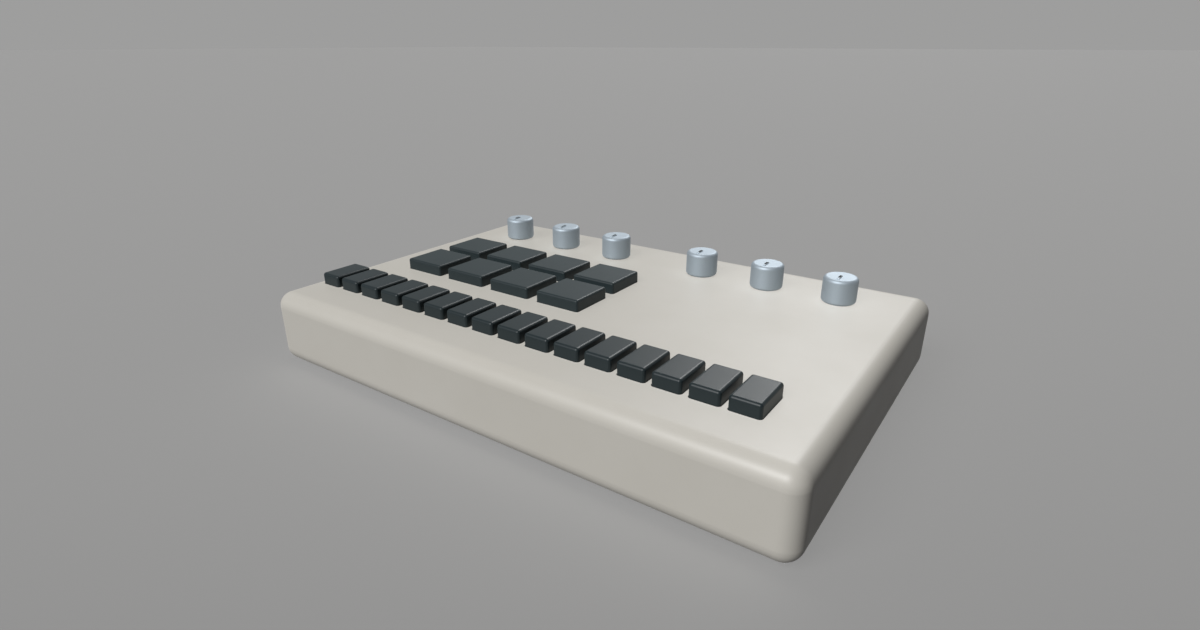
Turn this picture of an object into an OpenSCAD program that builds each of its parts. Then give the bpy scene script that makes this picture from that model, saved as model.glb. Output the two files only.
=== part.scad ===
// Desktop drum machine: 16 step keys, 8 drum pads and 6 rotary controls in a one-piece moulded case.
// Millimetres. The origin is under the middle of the case, on the surface that the feet stand on.
// +X runs along the width, +Y to the rear with its connectors, +Z up. The row of keys and the rotary
// controls are measured from both sides of the case, the pads from its left side and the sockets each
// from the side nearest to it. Keys and pads are placed from its front, rotary controls from its rear.

/* [Case] */
// Width of the case
case_w = 300; // [296:1:340]
// Depth of the case
case_d = 200; // [198:1:230]
// Height of the case, without the feet
case_h = 40; // [39:0.5:60]
// Radius of all the outer edges
case_r = 8; // [7:0.25:9]
// Wall thickness of the case
wall = 3; // [2.6:0.1:3.4]

/* [Bottom cover] */
// Thickness of the bottom cover
cover_t = 2.5; // [2.2:0.1:3]
// Land left between the rounded edge of the case and the recess for the cover
cover_rim = 3; // [2.5:0.25:4]
// Radius of the corners of the cover recess
cover_corner_r = 4; // [2:0.5:6]
// Play of the cover all round in its recess
cover_fit = 0.25; // [0.15:0.05:0.4]
// Width of the ledge that the cover lies against
ledge_w = 9; // [8:0.25:10]
// Thickness of the ledge
ledge_t = 2.5; // [2:0.25:3.5]
// Thickness of the stiffening ribs on the cover
cover_rib_t = 1.2; // [1:0.1:1.8]
// Height of the stiffening ribs on the cover
cover_rib_h = 3; // [2:0.5:3.5]

/* [Feet] */
// Radius of a rubber foot
foot_r = 6; // [4:0.5:8]
// How far a foot stands proud of the cover
foot_proud = 2; // [1:0.25:4]
// Depth of the pocket that a foot is glued into
foot_pocket = 0.9; // [0.6:0.1:1.2]
// Distance from the side of the cover recess to the middle of a foot
foot_inset = 20; // [14:1:40]

/* [Step keys] */
// Depth of a key cap, front to rear
key_d = 22.2; // [20:0.1:23]
// How far a key cap stands proud of the panel
key_proud = 6.3; // [5:0.1:8]
// Radius of the edges of a key cap
key_r = 1.5; // [1:0.1:2]
// Space between two neighbouring key caps
key_space = 2.93; // [2.7:0.01:3.4]
// Distance from the left side of the case to the first key cap
key_left = 9.6; // [9:0.1:14]
// Distance from the last key cap to the right side of the case
key_right = 26.45; // [22:0.05:30]
// Distance from the front of the case to the key caps
key_front = 25.8; // [24:0.2:28]
// Travel of a key
key_travel = 1.2; // [0.8:0.1:1.4]
// Wall thickness of a key cap
key_wall = 1.3; // [1.1:0.1:1.6]
// Thickness of the flange that keeps a key under the panel
key_flange_t = 1.2; // [1:0.1:1.4]
// How far the flange reaches past the sides of the cap
key_flange_side = 1.05; // [0.8:0.05:1.1]
// How far the flange reaches past the front and rear of the cap
key_flange_end = 2; // [1.4:0.1:2.6]

/* [Drum pads] */
// Width of a pad
pad_w = 27.2; // [25:0.1:28]
// Depth of a pad, front to rear
pad_d = 26.3; // [24:0.1:27]
// How far a pad stands proud of the panel
pad_proud = 6.2; // [5:0.1:8]
// Radius of the edges of a pad
pad_r = 1.3; // [0.8:0.1:2]
// Distance from one column of pads to the next
pad_pitch_x = 33.4; // [32.8:0.1:38]
// Distance from one row of pads to the next
pad_pitch_y = 32.5; // [31.8:0.1:34]
// Distance from the left side of the case to the first column of pads
pad_left = 27.9; // [24:0.1:40]
// Distance from the front of the case to the first row of pads
pad_front = 72.2; // [71:0.1:74]
// Travel of a pad
pad_travel = 1; // [0.6:0.1:1.2]
// Wall thickness of a pad
pad_wall = 2; // [1.6:0.1:2.6]
// Thickness of the flange that keeps a pad under the panel
pad_flange_t = 1.4; // [1.2:0.1:1.5]
// How far the flange reaches past the sides of a pad
pad_flange = 1.6; // [1.2:0.1:2]

/* [Keys and pads in the panel] */
// Gap all round between a cap and its window in the panel
cap_gap = 0.3; // [0.2:0.05:0.4]
// Gap between a flange and the underside of the panel
flange_gap = 0.1; // [0.05:0.05:0.2]
// Height of a rubber dome over its sheet when it is pressed flat
dome_low_h = 2.3; // [2:0.1:2.6]
// Thickness of the rubber sheets
mat_t = 1; // [0.8:0.1:1.1]

/* [Knobs] */
// Radius of a knob
knob_r = 9; // [8.6:0.1:11]
// Height of the top of a knob over the panel
knob_h = 14.3; // [13:0.1:18]
// Radius of the top and bottom edges of a knob
knob_edge_r = 1.9; // [0.5:0.1:2]
// Gap between a knob and the panel
knob_gap = 0.3; // [0.3:0.1:0.8]
// Thickness of the top of a knob
knob_roof = 2.2; // [1.6:0.1:3]
// Thickness of the skirt of a knob
knob_skirt = 1.8; // [1.2:0.1:2]
// Distance from one knob to the next within a group of three
knob_pitch = 40.3; // [36:0.1:42]
// Distance from the left side of the case to the first knob
knob_left = 37.8; // [34:0.1:42]
// Distance from the last knob to the right side of the case
knob_right = 40.5; // [36:0.1:44]
// Distance from the rear of the case to the knobs
knob_rear = 36.4; // [35:0.1:38]
// Length of the pointer on a knob
pointer_l = 6; // [4:0.1:7]
// Width of the pointer
pointer_w = 1.6; // [1:0.1:2.5]
// Height of the pointer over the top of the knob
pointer_h = 0.6; // [0.3:0.1:1]
// Distance from the middle of the knob to the near end of the pointer
pointer_start = 0.6; // [0:0.1:1]

/* [Potentiometers] */
// Radius of a shaft
shaft_r = 3; // [2.5:0.5:3]
// Depth of the flat on the upper part of a shaft
shaft_flat = 1.5; // [1:0.1:1.8]
// Running clearance of a shaft in its bushing, on the radius
shaft_run = 0.05; // [0.03:0.01:0.08]
// Clearance of a shaft in its knob, on the radius
shaft_fit = 0.03; // [0.02:0.01:0.05]
// Radius of a bushing
bushing_r = 4.5; // [4.2:0.1:4.8]
// Height of a potentiometer body, from the control board to the panel
pot_body_h = 7.6; // [7.4:0.1:9]
// Width of a potentiometer body
pot_body_w = 12; // [11:0.5:14]
// Depth of a potentiometer body
pot_body_d = 11.5; // [11:0.5:13]
// Thickness of a washer
washer_t = 0.5; // [0.4:0.1:0.8]
// Thickness of a nut
nut_t = 2; // [1.6:0.1:2.2]
// Distance across the flats of a nut
nut_flats = 11; // [10.6:0.1:11.5]
// How far a bushing stands out of its nut
bushing_proud = 1; // [0.5:0.1:1.5]

/* [Circuit boards] */
// Thickness of a board
board_t = 1.6; // [1.2:0.2:1.8]
// Gap between the control board and the side walls
board_gap = 3; // [2:0.5:3.5]
// Distance from the row of stand-offs to the front edge of the main board
main_lip = 7.7; // [6:0.1:10]
// Gap between the main board and the rear wall
main_gap = 1.5; // [1:0.5:3]
// Gap between the main board and the side walls
main_side = 19; // [17:0.5:21]
// Length of a stand-off between the boards
standoff_l = 15.8; // [15.2:0.2:17]
// Distance across the flats of a stand-off
standoff_flats = 5; // [4.6:0.1:5.5]
// Distance from the side of the main board to the outer stand-offs
standoff_inset = 8; // [6:0.5:10]
// Distance from the inner cover screws to the inner stand-offs, towards the middle
standoff_step = 15; // [12:0.5:18]
// Distance from the row of stand-offs to the headers of the ribbon cable
header_gap = 8; // [7:0.5:10]
// Width of the ribbon cable between the boards
ribbon_w = 12.7; // [8:0.1:20]
// Thickness of the ribbon cable
ribbon_t = 0.9; // [0.6:0.1:1]

/* [Screws] */
// Radius of the shank of a cover screw
cover_screw_r = 1.5; // [1.2:0.1:1.6]
// Length of a cover screw, from under its head
cover_screw_l = 12; // [8:1:16]
// Radius of the head of a cover screw
cover_head_r = 2.8; // [2.4:0.1:3]
// Height of the head of a cover screw
cover_head_h = 1.5; // [1.2:0.1:1.6]
// Radius of the columns that take the cover screws
column_r = 3.5; // [3:0.1:4]
// Distance from the middle of the case to the inner cover screws
column_x = 45; // [42:1:47]
// Radius of the shank of a board screw
board_screw_r = 1.25; // [1:0.05:1.3]
// Length of a board screw, from under its head
board_screw_l = 6.5; // [5:0.5:7]
// Radius of the head of a board screw
board_head_r = 2.3; // [2:0.1:2.5]
// Height of the head of a board screw
board_head_h = 1.6; // [1.2:0.1:1.8]
// Radius of the bosses that hold the control board
boss_r = 3; // [2.6:0.1:3.2]

/* [Rear connectors] */
// Height of the connector axes over the main board
axis_h = 8; // [7.6:0.1:8.5]
// Radius of the plug that a jack takes
jack_r = 3.25; // [3.2:0.01:3.3]
// Depth of a jack bore
jack_l = 31; // [28:1:32]
// Distance from the left side of the case to the headphone jack
jack_side = 34; // [33:0.5:40]
// Distance from the last jack to the cover screw beside it
jack_in = 23; // [14:0.5:30]
// Radius of the shield of a MIDI plug
midi_r = 6.7; // [6.6:0.05:6.9]
// Distance between the two MIDI sockets
midi_pitch = 32; // [24:1:36]
// Radius of the barrel of the power plug
power_r = 2.75; // [2.5:0.05:3]
// Radius of the pin in the power socket
power_pin_r = 1; // [0.6:0.05:1.2]
// Distance from the right side of the case to the power socket
power_side = 66; // [60:0.5:76]
// Distance from the right side of the case to the power switch
switch_side = 40; // [36:0.5:44]
// Travel of the power switch
switch_travel = 4; // [2:0.5:5]
// Width of the power switch handle
switch_handle_w = 5; // [4:0.5:6]
// Height of the power switch handle
switch_handle_h = 4; // [3:0.5:5]

/* [Hidden] */
$fn = 48;
// Overlap of joined solids and overshoot of cuts
e = 0.5;
// Small play between pieces that lie on each other
seat = 0.05;
// Play of a screw in its hole, on the radius
screw_play = 0.05;
// Play of a part in the window, pocket or slot that takes it
slot_play = 0.3;

key_count = 16;
pad_columns = 4;
pad_rows = 2;
knobs_in_group = 3;
KEYS = [1:key_count];
PADS = [1:pad_columns * pad_rows];
KNOBS = [1:2 * knobs_in_group];

function two_digits(n) = n < 10 ? str("0", n) : str(n);
function key_name(n) = str("step_key_", two_digits(n));
function pad_name(n) = str("pad_", n);
function knob_name(n) = str("knob_", n);
function shaft_name(n) = str("pot_shaft_", n);

// Heights
cover_z = foot_proud;
cover_in_z = cover_z + cover_t;
floor_z = cover_in_z + ledge_t;
panel_z = cover_z + case_h;
under_z = panel_z - wall;
board_z = under_z - pot_body_h;
board_low_z = board_z - board_t;
main_z = board_low_z - standoff_l;
main_low_z = main_z - board_t;
axis_z = main_z + axis_h;

// Plan of the case
half_w = case_w / 2;
half_d = case_d / 2;
in_half_w = half_w - wall;
in_half_d = half_d - wall;
recess_w = case_w - 2 * (case_r + cover_rim);
recess_d = case_d - 2 * (case_r + cover_rim);
access_w = recess_w - 2 * ledge_w;
access_d = recess_d - 2 * ledge_w;
column_out_x = (recess_w - ledge_w) / 2;
column_out_y = (recess_d - ledge_w) / 2;
COLUMN_XS = [-column_out_x, -column_x, column_x, column_out_x];
COLUMNS = [for (x = COLUMN_XS, y = [-column_out_y, column_out_y]) [x, y]];
foot_x = recess_w / 2 - foot_inset;
foot_y = recess_d / 2 - foot_inset;
FEET = [for (x = [-foot_x, foot_x], y = [-foot_y, foot_y]) [x, y]];

// Ribs inside the caps of the keys and pads
cap_rib_t = 1;
cap_rib_z = under_z + 1;
flange_top_z = under_z - flange_gap;

// Keys
key_pitch = (case_w - key_left - key_right + key_space) / key_count;
key_w = key_pitch - key_space;
key_top_z = panel_z + key_proud;
key_y = -half_d + key_front + key_d / 2;
key_roof = 1.8;
key_plunger_r = 2.5;
function key_x(n) = -half_w + key_left + key_w / 2 + (n - 1) * key_pitch;

// Pads
pad_top_z = panel_z + pad_proud;
pad_roof = 2.5;
pad_plunger_r = 6;
pad_row_y = -half_d + pad_front + pad_d / 2;
function pad_x(n) = -half_w + pad_left + pad_w / 2 + ((n - 1) % pad_columns) * pad_pitch_x;
function pad_y(n) = pad_row_y + floor((n - 1) / pad_columns) * pad_pitch_y;

// Rubber sheets and the sensing sheet under the caps
sensor_t = 0.3;
key_mat_z = board_z + seat;
sensor_z = board_z + seat;
pad_mat_z = sensor_z + sensor_t + seat;
key_dome_h = dome_low_h + key_travel;
pad_dome_h = dome_low_h + pad_travel;
key_dome_z = key_mat_z + mat_t + key_dome_h;
pad_dome_z = pad_mat_z + mat_t + pad_dome_h;
plunger_gap = 0.3;
key_dome_r = 4.6;
key_dome_top_r = 3;
pad_dome_r = 9;
pad_dome_top_r = 7;
dome_wall = 0.8;
mat_margin = 3;

// Knobs and potentiometers
knob_y = half_d - knob_rear;
knob_low_z = panel_z + knob_gap;
knob_top_z = panel_z + knob_h;
bushing_top_z = panel_z + washer_t + nut_t + bushing_proud;
hub_gap = 0.5;
hub_z = bushing_top_z + hub_gap;
hub_wall = 1.8;
hub_r = shaft_r + hub_wall;
knob_rib_t = 1;
nut_r = nut_flats / sqrt(3);
pot_base_t = 1.5;
shaft_low_z = board_z + pot_base_t;
shaft_top_z = knob_top_z - knob_roof - shaft_run;
function knob_x(n) = n > knobs_in_group
    ? half_w - knob_right - (2 * knobs_in_group - n) * knob_pitch
    : -half_w + knob_left + (n - 1) * knob_pitch;

// Boards, their bosses and stand-offs
board_half_w = in_half_w - board_gap;
board_front_y = -column_out_y + column_r + board_gap / 2;
board_rear_y = knob_y + pot_body_d / 2 + board_gap;
boss_front_y = (key_y + key_d / 2 + key_flange_end + pad_row_y - pad_d / 2 - pad_flange) / 2;
boss_rear_y = (pad_y(pad_columns * pad_rows) + pad_d / 2 + pad_flange + knob_y - pot_body_d / 2) / 2;
boss_out_x = column_out_x - 2 * boss_r;
BOSS_XS = [-boss_out_x, -column_x, column_x, boss_out_x];
BOSSES = [for (x = BOSS_XS, y = [boss_front_y, boss_rear_y]) [x, y]];
panel_rib_t = 1.5;
panel_rib_h = 4;
main_half_w = in_half_w - main_side;
main_rear_y = in_half_d - main_gap;
main_front_y = boss_rear_y - main_lip;
notch_gap = 1;
standoff_r = standoff_flats / sqrt(3);
standoff_x = main_half_w - standoff_inset;
standoff_in_x = column_x - standoff_step;
STANDOFFS = [for (x = [-standoff_x, -standoff_in_x, standoff_in_x, standoff_x]) [x, boss_rear_y]];
chip_pitch = 2 * column_x / 3;
header_h = 2.5;
header_d = 6;
header_side = 1;
header_y = boss_rear_y + header_gap;
ribbon_z = board_low_z - header_h / 2;
ribbon_low_z = main_z + header_h / 2;
ribbon_tail = 1;

// Connectors
conn_y = in_half_d - slot_play;
plug_gap = 1.5;
midi_plug_gap = 1.2;
jack_x = -half_w + jack_side;
jack_pitch = (-column_x - jack_in - jack_x) / 2;
JACKS = [for (i = [0:2]) jack_x + i * jack_pitch];
jack_body_w = 15.8;
jack_body_h = 14.5;
jack_flange_t = 4;
jack_barrel_r = 6.2;
jack_back = 2;
MIDIS = [-midi_pitch / 2, midi_pitch / 2];
midi_body_w = 20;
midi_body_h = 17.5;
midi_body_d = 12.5;
midi_depth = 9;
midi_run = 0.15;
midi_core_r = 5.7;
midi_pin_r = 0.85;
midi_pin_circle_r = 3.6;
MIDI_PIN_ANGLES = [-90, -45, 0, 45, 90];
power_body_w = 11;
power_body_h = 14;
power_body_d = 13.5;
power_depth = 10;
power_pin_sink = 1;
power_x = half_w - power_side;
switch_x = half_w - switch_side;
switch_slot_w = switch_handle_w + switch_travel + 2 * slot_play;
switch_slot_h = switch_handle_h + 2 * slot_play;
switch_body_w = 24;
switch_body_h = 15;
switch_body_d = 9;
slider_w = 9;
slider_t = 1.6;
slider_h = 8;
slider_front = 1;
handle_inset = 0.4;
slider_y = conn_y - slider_front - slot_play - slider_t;
slider_x = switch_x - switch_travel / 2;
groove = 0.5;

// ---- Shared shapes ----

// A flat rectangle with round corners, about the origin
module rounded_rect(w, d, r) {
    square([w - 2 * r, d], center = true);
    square([w, d - 2 * r], center = true);
    for (x = [-1, 1], y = [-1, 1]) translate([x * (w / 2 - r), y * (d / 2 - r)]) circle(r);
}

// A plate with round upright corners
module plate(w, d, h, r) {
    linear_extrude(h) rounded_rect(w, d, r);
}

// A block with round upright corners and round top edges
module rounded_cap(w, d, h, r) {
    x = w / 2 - r;
    y = d / 2 - r;
    plate(w, d, h - r, r);
    translate([-x, -y, 0]) cube([2 * x, 2 * y, h]);
    translate([0, 0, h - r]) {
        for (s = [-1, 1]) {
            translate([-x, s * y, 0]) rotate([0, 90, 0]) cylinder(h = 2 * x, r = r);
            translate([s * x, y, 0]) rotate([90, 0, 0]) cylinder(h = 2 * y, r = r);
            for (t = [-1, 1]) translate([s * x, t * y, 0]) sphere(r);
        }
    }
}

// A block with every edge round
module rounded_box(w, d, h, r) {
    translate([0, 0, h / 2]) {
        rounded_cap(w, d, h / 2, r);
        mirror([0, 0, 1]) rounded_cap(w, d, h / 2, r);
    }
}

// A cap that reaches through the panel, with a retaining flange, hollow from below,
// and a ribbed plunger that works the dome under it
module pressed_cap(w, d, top_z, r, shell, roof, flange, flange_t, plunger_r, dome_z) {
    flange_z = flange_top_z - flange_t;
    roof_z = top_z - roof;
    difference() {
        union() {
            translate([0, 0, flange_z]) rounded_cap(w, d, top_z - flange_z, r);
            translate([0, 0, flange_z]) plate(w + 2 * flange.x, d + 2 * flange.y, flange_t, r);
        }
        translate([0, 0, flange_z - e]) plate(w - 2 * shell, d - 2 * shell, roof_z - flange_z + e, r / 2);
    }
    translate([0, 0, dome_z + plunger_gap]) cylinder(h = roof_z - dome_z - plunger_gap + e, r = plunger_r);
    rib_h = roof_z - cap_rib_z + e;
    translate([-cap_rib_t / 2, (shell - d) / 2, cap_rib_z]) cube([cap_rib_t, d - shell, rib_h]);
    translate([(shell - w) / 2, -cap_rib_t / 2, cap_rib_z]) cube([w - shell, cap_rib_t, rib_h]);
}

// A rubber dome on its sheet
module dome(r, top_r, h) {
    cylinder(h = h, r1 = r, r2 = top_r);
}

// The hollow of a dome, open below through the sheet
module dome_hollow(r, top_r, h) {
    translate([0, 0, -mat_t - e]) cylinder(h = mat_t + e, r = r - dome_wall);
    cylinder(h = h - dome_wall, r1 = r - dome_wall, r2 = top_r - dome_wall);
}

// A screw with its head below the origin and its shank above it
module screw(r, l, head_r, head_h) {
    translate([0, 0, -head_h]) cylinder(h = head_h, r = head_r);
    translate([0, 0, -e]) cylinder(h = l + e, r = r);
}

// ---- Case ----

module case_shell() {
    difference() {
        translate([0, 0, cover_z]) rounded_box(case_w, case_d, case_h, case_r);
        translate([0, 0, floor_z])
            rounded_box(2 * in_half_w, 2 * in_half_d, under_z - floor_z, case_r - wall);
        translate([0, 0, cover_z - e]) plate(access_w, access_d, floor_z - cover_z + 2 * e, cover_corner_r);
    }
}

// Columns for the cover screws, each tied to the walls near it by ribs
module screw_columns() {
    rib_low_z = floor_z - e;
    rib_h = under_z - rib_low_z + e;
    for (p = COLUMNS) {
        side = p.y > 0 ? 1 : -1;
        translate([p.x, p.y, cover_in_z]) cylinder(h = under_z - cover_in_z + e, r = column_r);
        translate([p.x - panel_rib_t / 2, side > 0 ? p.y : -in_half_d - e, rib_low_z])
            cube([panel_rib_t, in_half_d - abs(p.y) + e, rib_h]);
        if (abs(p.x) > column_x)
            translate([p.x > 0 ? p.x : -in_half_w - e, p.y - panel_rib_t / 2, rib_low_z])
                cube([in_half_w - abs(p.x) + e, panel_rib_t, rib_h]);
    }
}

// Bosses for the control board, joined by ribs across the underside of the panel
module board_bosses() {
    for (p = BOSSES) translate([p.x, p.y, board_z]) cylinder(h = pot_body_h + e, r = boss_r);
    for (y = [boss_front_y, boss_rear_y])
        translate([-in_half_w - e, y - panel_rib_t / 2, under_z - panel_rib_h])
            cube([2 * (in_half_w + e), panel_rib_t, panel_rib_h + e]);
}

module panel_windows() {
    for (n = KEYS) translate([key_x(n), key_y, under_z - e])
        plate(key_w + 2 * cap_gap, key_d + 2 * cap_gap, wall + 2 * e, key_r + cap_gap);
    for (n = PADS) translate([pad_x(n), pad_y(n), under_z - e])
        plate(pad_w + 2 * cap_gap, pad_d + 2 * cap_gap, wall + 2 * e, pad_r + cap_gap);
    for (n = KNOBS) translate([knob_x(n), knob_y, under_z - e])
        cylinder(h = wall + 2 * e, r = bushing_r + slot_play / 2);
}

module rear_hole(x, r) {
    translate([x, half_d + e, axis_z]) rotate([90, 0, 0]) cylinder(h = wall + 2 * e, r = r);
}

module rear_holes() {
    for (x = JACKS) rear_hole(x, jack_r + plug_gap);
    for (x = MIDIS) rear_hole(x, midi_r + midi_plug_gap);
    rear_hole(power_x, power_r + plug_gap);
    translate([switch_x - switch_slot_w / 2, in_half_d - e, axis_z - switch_slot_h / 2])
        cube([switch_slot_w, wall + 2 * e, switch_slot_h]);
}

module top_case() color([0.78, 0.76, 0.72]) {
    difference() {
        union() {
            case_shell();
            screw_columns();
            board_bosses();
        }
        translate([0, 0, cover_z - e]) plate(recess_w, recess_d, cover_t + e + seat, cover_corner_r);
        panel_windows();
        rear_holes();
        for (p = COLUMNS) translate([p.x, p.y, cover_z - e])
            cylinder(h = cover_screw_l + cover_t + 2 * e, r = cover_screw_r + screw_play);
        for (p = BOSSES) translate([p.x, p.y, board_z - e])
            cylinder(h = board_screw_l - board_t + 2 * e, r = board_screw_r + screw_play);
    }
}

module cover_ribs() {
    w = access_w - 2 * slot_play;
    d = access_d - 2 * slot_play;
    rows = 3;
    columns = 5;
    translate([-w / 2, -d / 2, cover_in_z - e]) {
        for (i = [1:rows]) translate([0, d * i / (rows + 1) - cover_rib_t / 2, 0])
            cube([w, cover_rib_t, cover_rib_h + e]);
        for (i = [1:columns]) translate([w * i / (columns + 1) - cover_rib_t / 2, 0, 0])
            cube([cover_rib_t, d, cover_rib_h + e]);
    }
}

module bottom_cover() color([0.36, 0.36, 0.35]) {
    cover_w = recess_w - 2 * cover_fit;
    cover_d = recess_d - 2 * cover_fit;
    difference() {
        union() {
            translate([0, 0, cover_z])
                plate(cover_w, cover_d, cover_t, cover_corner_r - cover_fit);
            cover_ribs();
        }
        for (p = FEET) translate([p.x, p.y, cover_z - e])
            cylinder(h = foot_pocket + e, r = foot_r + slot_play / 2);
        for (p = COLUMNS) translate([p.x, p.y, cover_z - e]) {
            cylinder(h = cover_t + 2 * e, r = cover_screw_r + slot_play);
            cylinder(h = cover_head_h + seat + e, r = cover_head_r + slot_play);
        }
    }
}

module rubber_feet() color([0.16, 0.16, 0.17]) {
    chamfer = foot_proud / 4;
    for (p = FEET) translate([p.x, p.y, 0]) {
        cylinder(h = chamfer, r1 = foot_r - chamfer, r2 = foot_r);
        translate([0, 0, chamfer]) cylinder(h = foot_proud - chamfer + foot_pocket - seat, r = foot_r);
    }
}

module cover_screws() color([0.3, 0.3, 0.32]) {
    for (p = COLUMNS) translate([p.x, p.y, cover_z + cover_head_h])
        screw(cover_screw_r, cover_screw_l, cover_head_r, cover_head_h);
}

// ---- Keys and pads ----

module step_key(n) color([0.27, 0.31, 0.32]) {
    translate([key_x(n), key_y, 0])
        pressed_cap(key_w, key_d, key_top_z, key_r, key_wall, key_roof, [key_flange_side, key_flange_end],
            key_flange_t, key_plunger_r, key_dome_z);
}

module pad(n) color([0.29, 0.32, 0.34]) {
    translate([pad_x(n), pad_y(n), 0])
        pressed_cap(pad_w, pad_d, pad_top_z, pad_r, pad_wall, pad_roof, [pad_flange, pad_flange],
            pad_flange_t, pad_plunger_r, pad_dome_z);
}

module key_dome_mat() color([0.75, 0.75, 0.72]) {
    row_l = (key_count - 1) * key_pitch;
    difference() {
        union() {
            translate([key_x(1) + row_l / 2, key_y, key_mat_z])
                plate(row_l + key_w + mat_margin, key_d + mat_margin, mat_t, mat_margin);
            for (n = KEYS) translate([key_x(n), key_y, key_mat_z + mat_t])
                dome(key_dome_r, key_dome_top_r, key_dome_h);
        }
        for (n = KEYS) translate([key_x(n), key_y, key_mat_z + mat_t])
            dome_hollow(key_dome_r, key_dome_top_r, key_dome_h);
    }
}

module pad_field(z, h) {
    w = (pad_columns - 1) * pad_pitch_x;
    d = (pad_rows - 1) * pad_pitch_y;
    translate([pad_x(1) + w / 2, pad_y(1) + d / 2, z])
        plate(w + pad_w + mat_margin, d + pad_d + mat_margin, h, mat_margin);
}

module pad_spring_mat() color([0.75, 0.75, 0.72]) {
    difference() {
        union() {
            pad_field(pad_mat_z, mat_t);
            for (n = PADS) translate([pad_x(n), pad_y(n), pad_mat_z + mat_t])
                dome(pad_dome_r, pad_dome_top_r, pad_dome_h);
        }
        for (n = PADS) translate([pad_x(n), pad_y(n), pad_mat_z + mat_t])
            dome_hollow(pad_dome_r, pad_dome_top_r, pad_dome_h);
    }
}

module pad_sensor_sheet() color([0.7, 0.55, 0.2]) {
    pad_field(sensor_z, sensor_t);
}

// ---- Knobs and potentiometers ----

module shaft_profile(r) {
    difference() {
        circle(r);
        translate([-r - e, r - shaft_flat]) square([2 * (r + e), 2 * r]);
    }
}

module knob_outline() {
    h = knob_h - knob_gap;
    straight_r = knob_r - knob_edge_r;
    square([straight_r, h]);
    translate([0, knob_edge_r]) square([knob_r, h - 2 * knob_edge_r]);
    for (y = [knob_edge_r, h - knob_edge_r]) translate([straight_r, y]) intersection() {
        circle(knob_edge_r);
        translate([0, -knob_edge_r]) square([knob_edge_r, 2 * knob_edge_r]);
    }
}

module knob(n) color([0.56, 0.61, 0.65]) {
    roof_z = knob_top_z - knob_roof;
    translate([knob_x(n), knob_y, 0]) {
        difference() {
            translate([0, 0, knob_low_z]) rotate_extrude() knob_outline();
            translate([0, 0, knob_low_z - e])
                cylinder(h = roof_z - knob_low_z + e, r = knob_r - knob_skirt);
        }
        difference() {
            union() {
                translate([0, 0, hub_z]) cylinder(h = roof_z - hub_z + e, r = hub_r);
                for (a = [0:60:120]) rotate(a) translate([-knob_r + knob_skirt / 2, -knob_rib_t / 2, hub_z])
                    cube([2 * knob_r - knob_skirt, knob_rib_t, roof_z - hub_z + e]);
            }
            translate([0, 0, hub_z - e])
                linear_extrude(roof_z - hub_z + e) shaft_profile(shaft_r + shaft_fit);
        }
        translate([-pointer_w / 2, -pointer_start - pointer_l, knob_top_z - e])
            cube([pointer_w, pointer_l, pointer_h + e]);
    }
}

module pot_shaft(n) color([0.75, 0.75, 0.77]) {
    translate([knob_x(n), knob_y, shaft_low_z]) {
        cylinder(h = bushing_top_z - shaft_low_z, r = shaft_r);
        linear_extrude(shaft_top_z - shaft_low_z) shaft_profile(shaft_r);
    }
}

module pot_bodies() color([0.55, 0.56, 0.58]) {
    for (n = KNOBS) translate([knob_x(n), knob_y, 0]) difference() {
        union() {
            translate([-pot_body_w / 2, -pot_body_d / 2, board_z])
                cube([pot_body_w, pot_body_d, pot_body_h]);
            translate([0, 0, under_z - e]) cylinder(h = bushing_top_z - under_z + e, r = bushing_r);
        }
        translate([0, 0, shaft_low_z - seat])
            cylinder(h = bushing_top_z - shaft_low_z + e, r = shaft_r + shaft_run);
    }
}

module pot_washers() color([0.7, 0.7, 0.72]) {
    for (n = KNOBS) translate([knob_x(n), knob_y, panel_z]) difference() {
        cylinder(h = washer_t, r = nut_r);
        translate([0, 0, -e]) cylinder(h = washer_t + 2 * e, r = bushing_r + screw_play);
    }
}

module pot_nuts() color([0.72, 0.72, 0.74]) {
    for (n = KNOBS) translate([knob_x(n), knob_y, panel_z + washer_t]) difference() {
        cylinder(h = nut_t, r = nut_r, $fn = 6);
        translate([0, 0, -e]) cylinder(h = nut_t + 2 * e, r = bushing_r + screw_play);
    }
}

// ---- Boards ----

module board_holes(points, z) {
    for (p = points) translate([p.x, p.y, z - e])
        cylinder(h = board_t + 2 * e, r = board_screw_r + screw_play);
}

module header_block(z) {
    w = ribbon_w + 2 * header_side;
    translate([-w / 2, header_y, z]) cube([w, header_d, header_h]);
}

module chips(places, z, size) {
    for (p = places) translate([p.x - size.x / 2, p.y - size.y / 2, z]) cube(size);
}

module control_board() color([0.12, 0.36, 0.22]) {
    chip = [10, 7, 1.4];
    difference() {
        union() {
            translate([-board_half_w, board_front_y, board_low_z])
                cube([2 * board_half_w, board_rear_y - board_front_y, board_t]);
            header_block(board_low_z - header_h);
            chips([for (i = [-2:2]) [i * chip_pitch, boss_front_y]], board_low_z - chip.z, chip);
        }
        board_holes(BOSSES, board_low_z);
        board_holes(STANDOFFS, board_low_z);
    }
}

module main_board() color([0.12, 0.36, 0.22]) {
    notch = 2 * (column_r + notch_gap);
    processor = [14, 14, 1.6];
    difference() {
        union() {
            translate([-main_half_w, main_front_y, main_low_z])
                cube([2 * main_half_w, main_rear_y - main_front_y, board_t]);
            header_block(main_z);
            chips([for (i = [-2, 2]) [i * chip_pitch, header_y]], main_z, processor);
        }
        for (x = [-column_x, column_x])
            translate([x - notch / 2, column_out_y - notch / 2, main_low_z - e])
                cube([notch, case_d, board_t + 2 * e]);
        board_holes(STANDOFFS, main_low_z);
    }
}

module board_screws() color([0.6, 0.6, 0.62]) {
    for (p = BOSSES) translate([p.x, p.y, board_low_z])
        screw(board_screw_r, board_screw_l, board_head_r, board_head_h);
}

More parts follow.
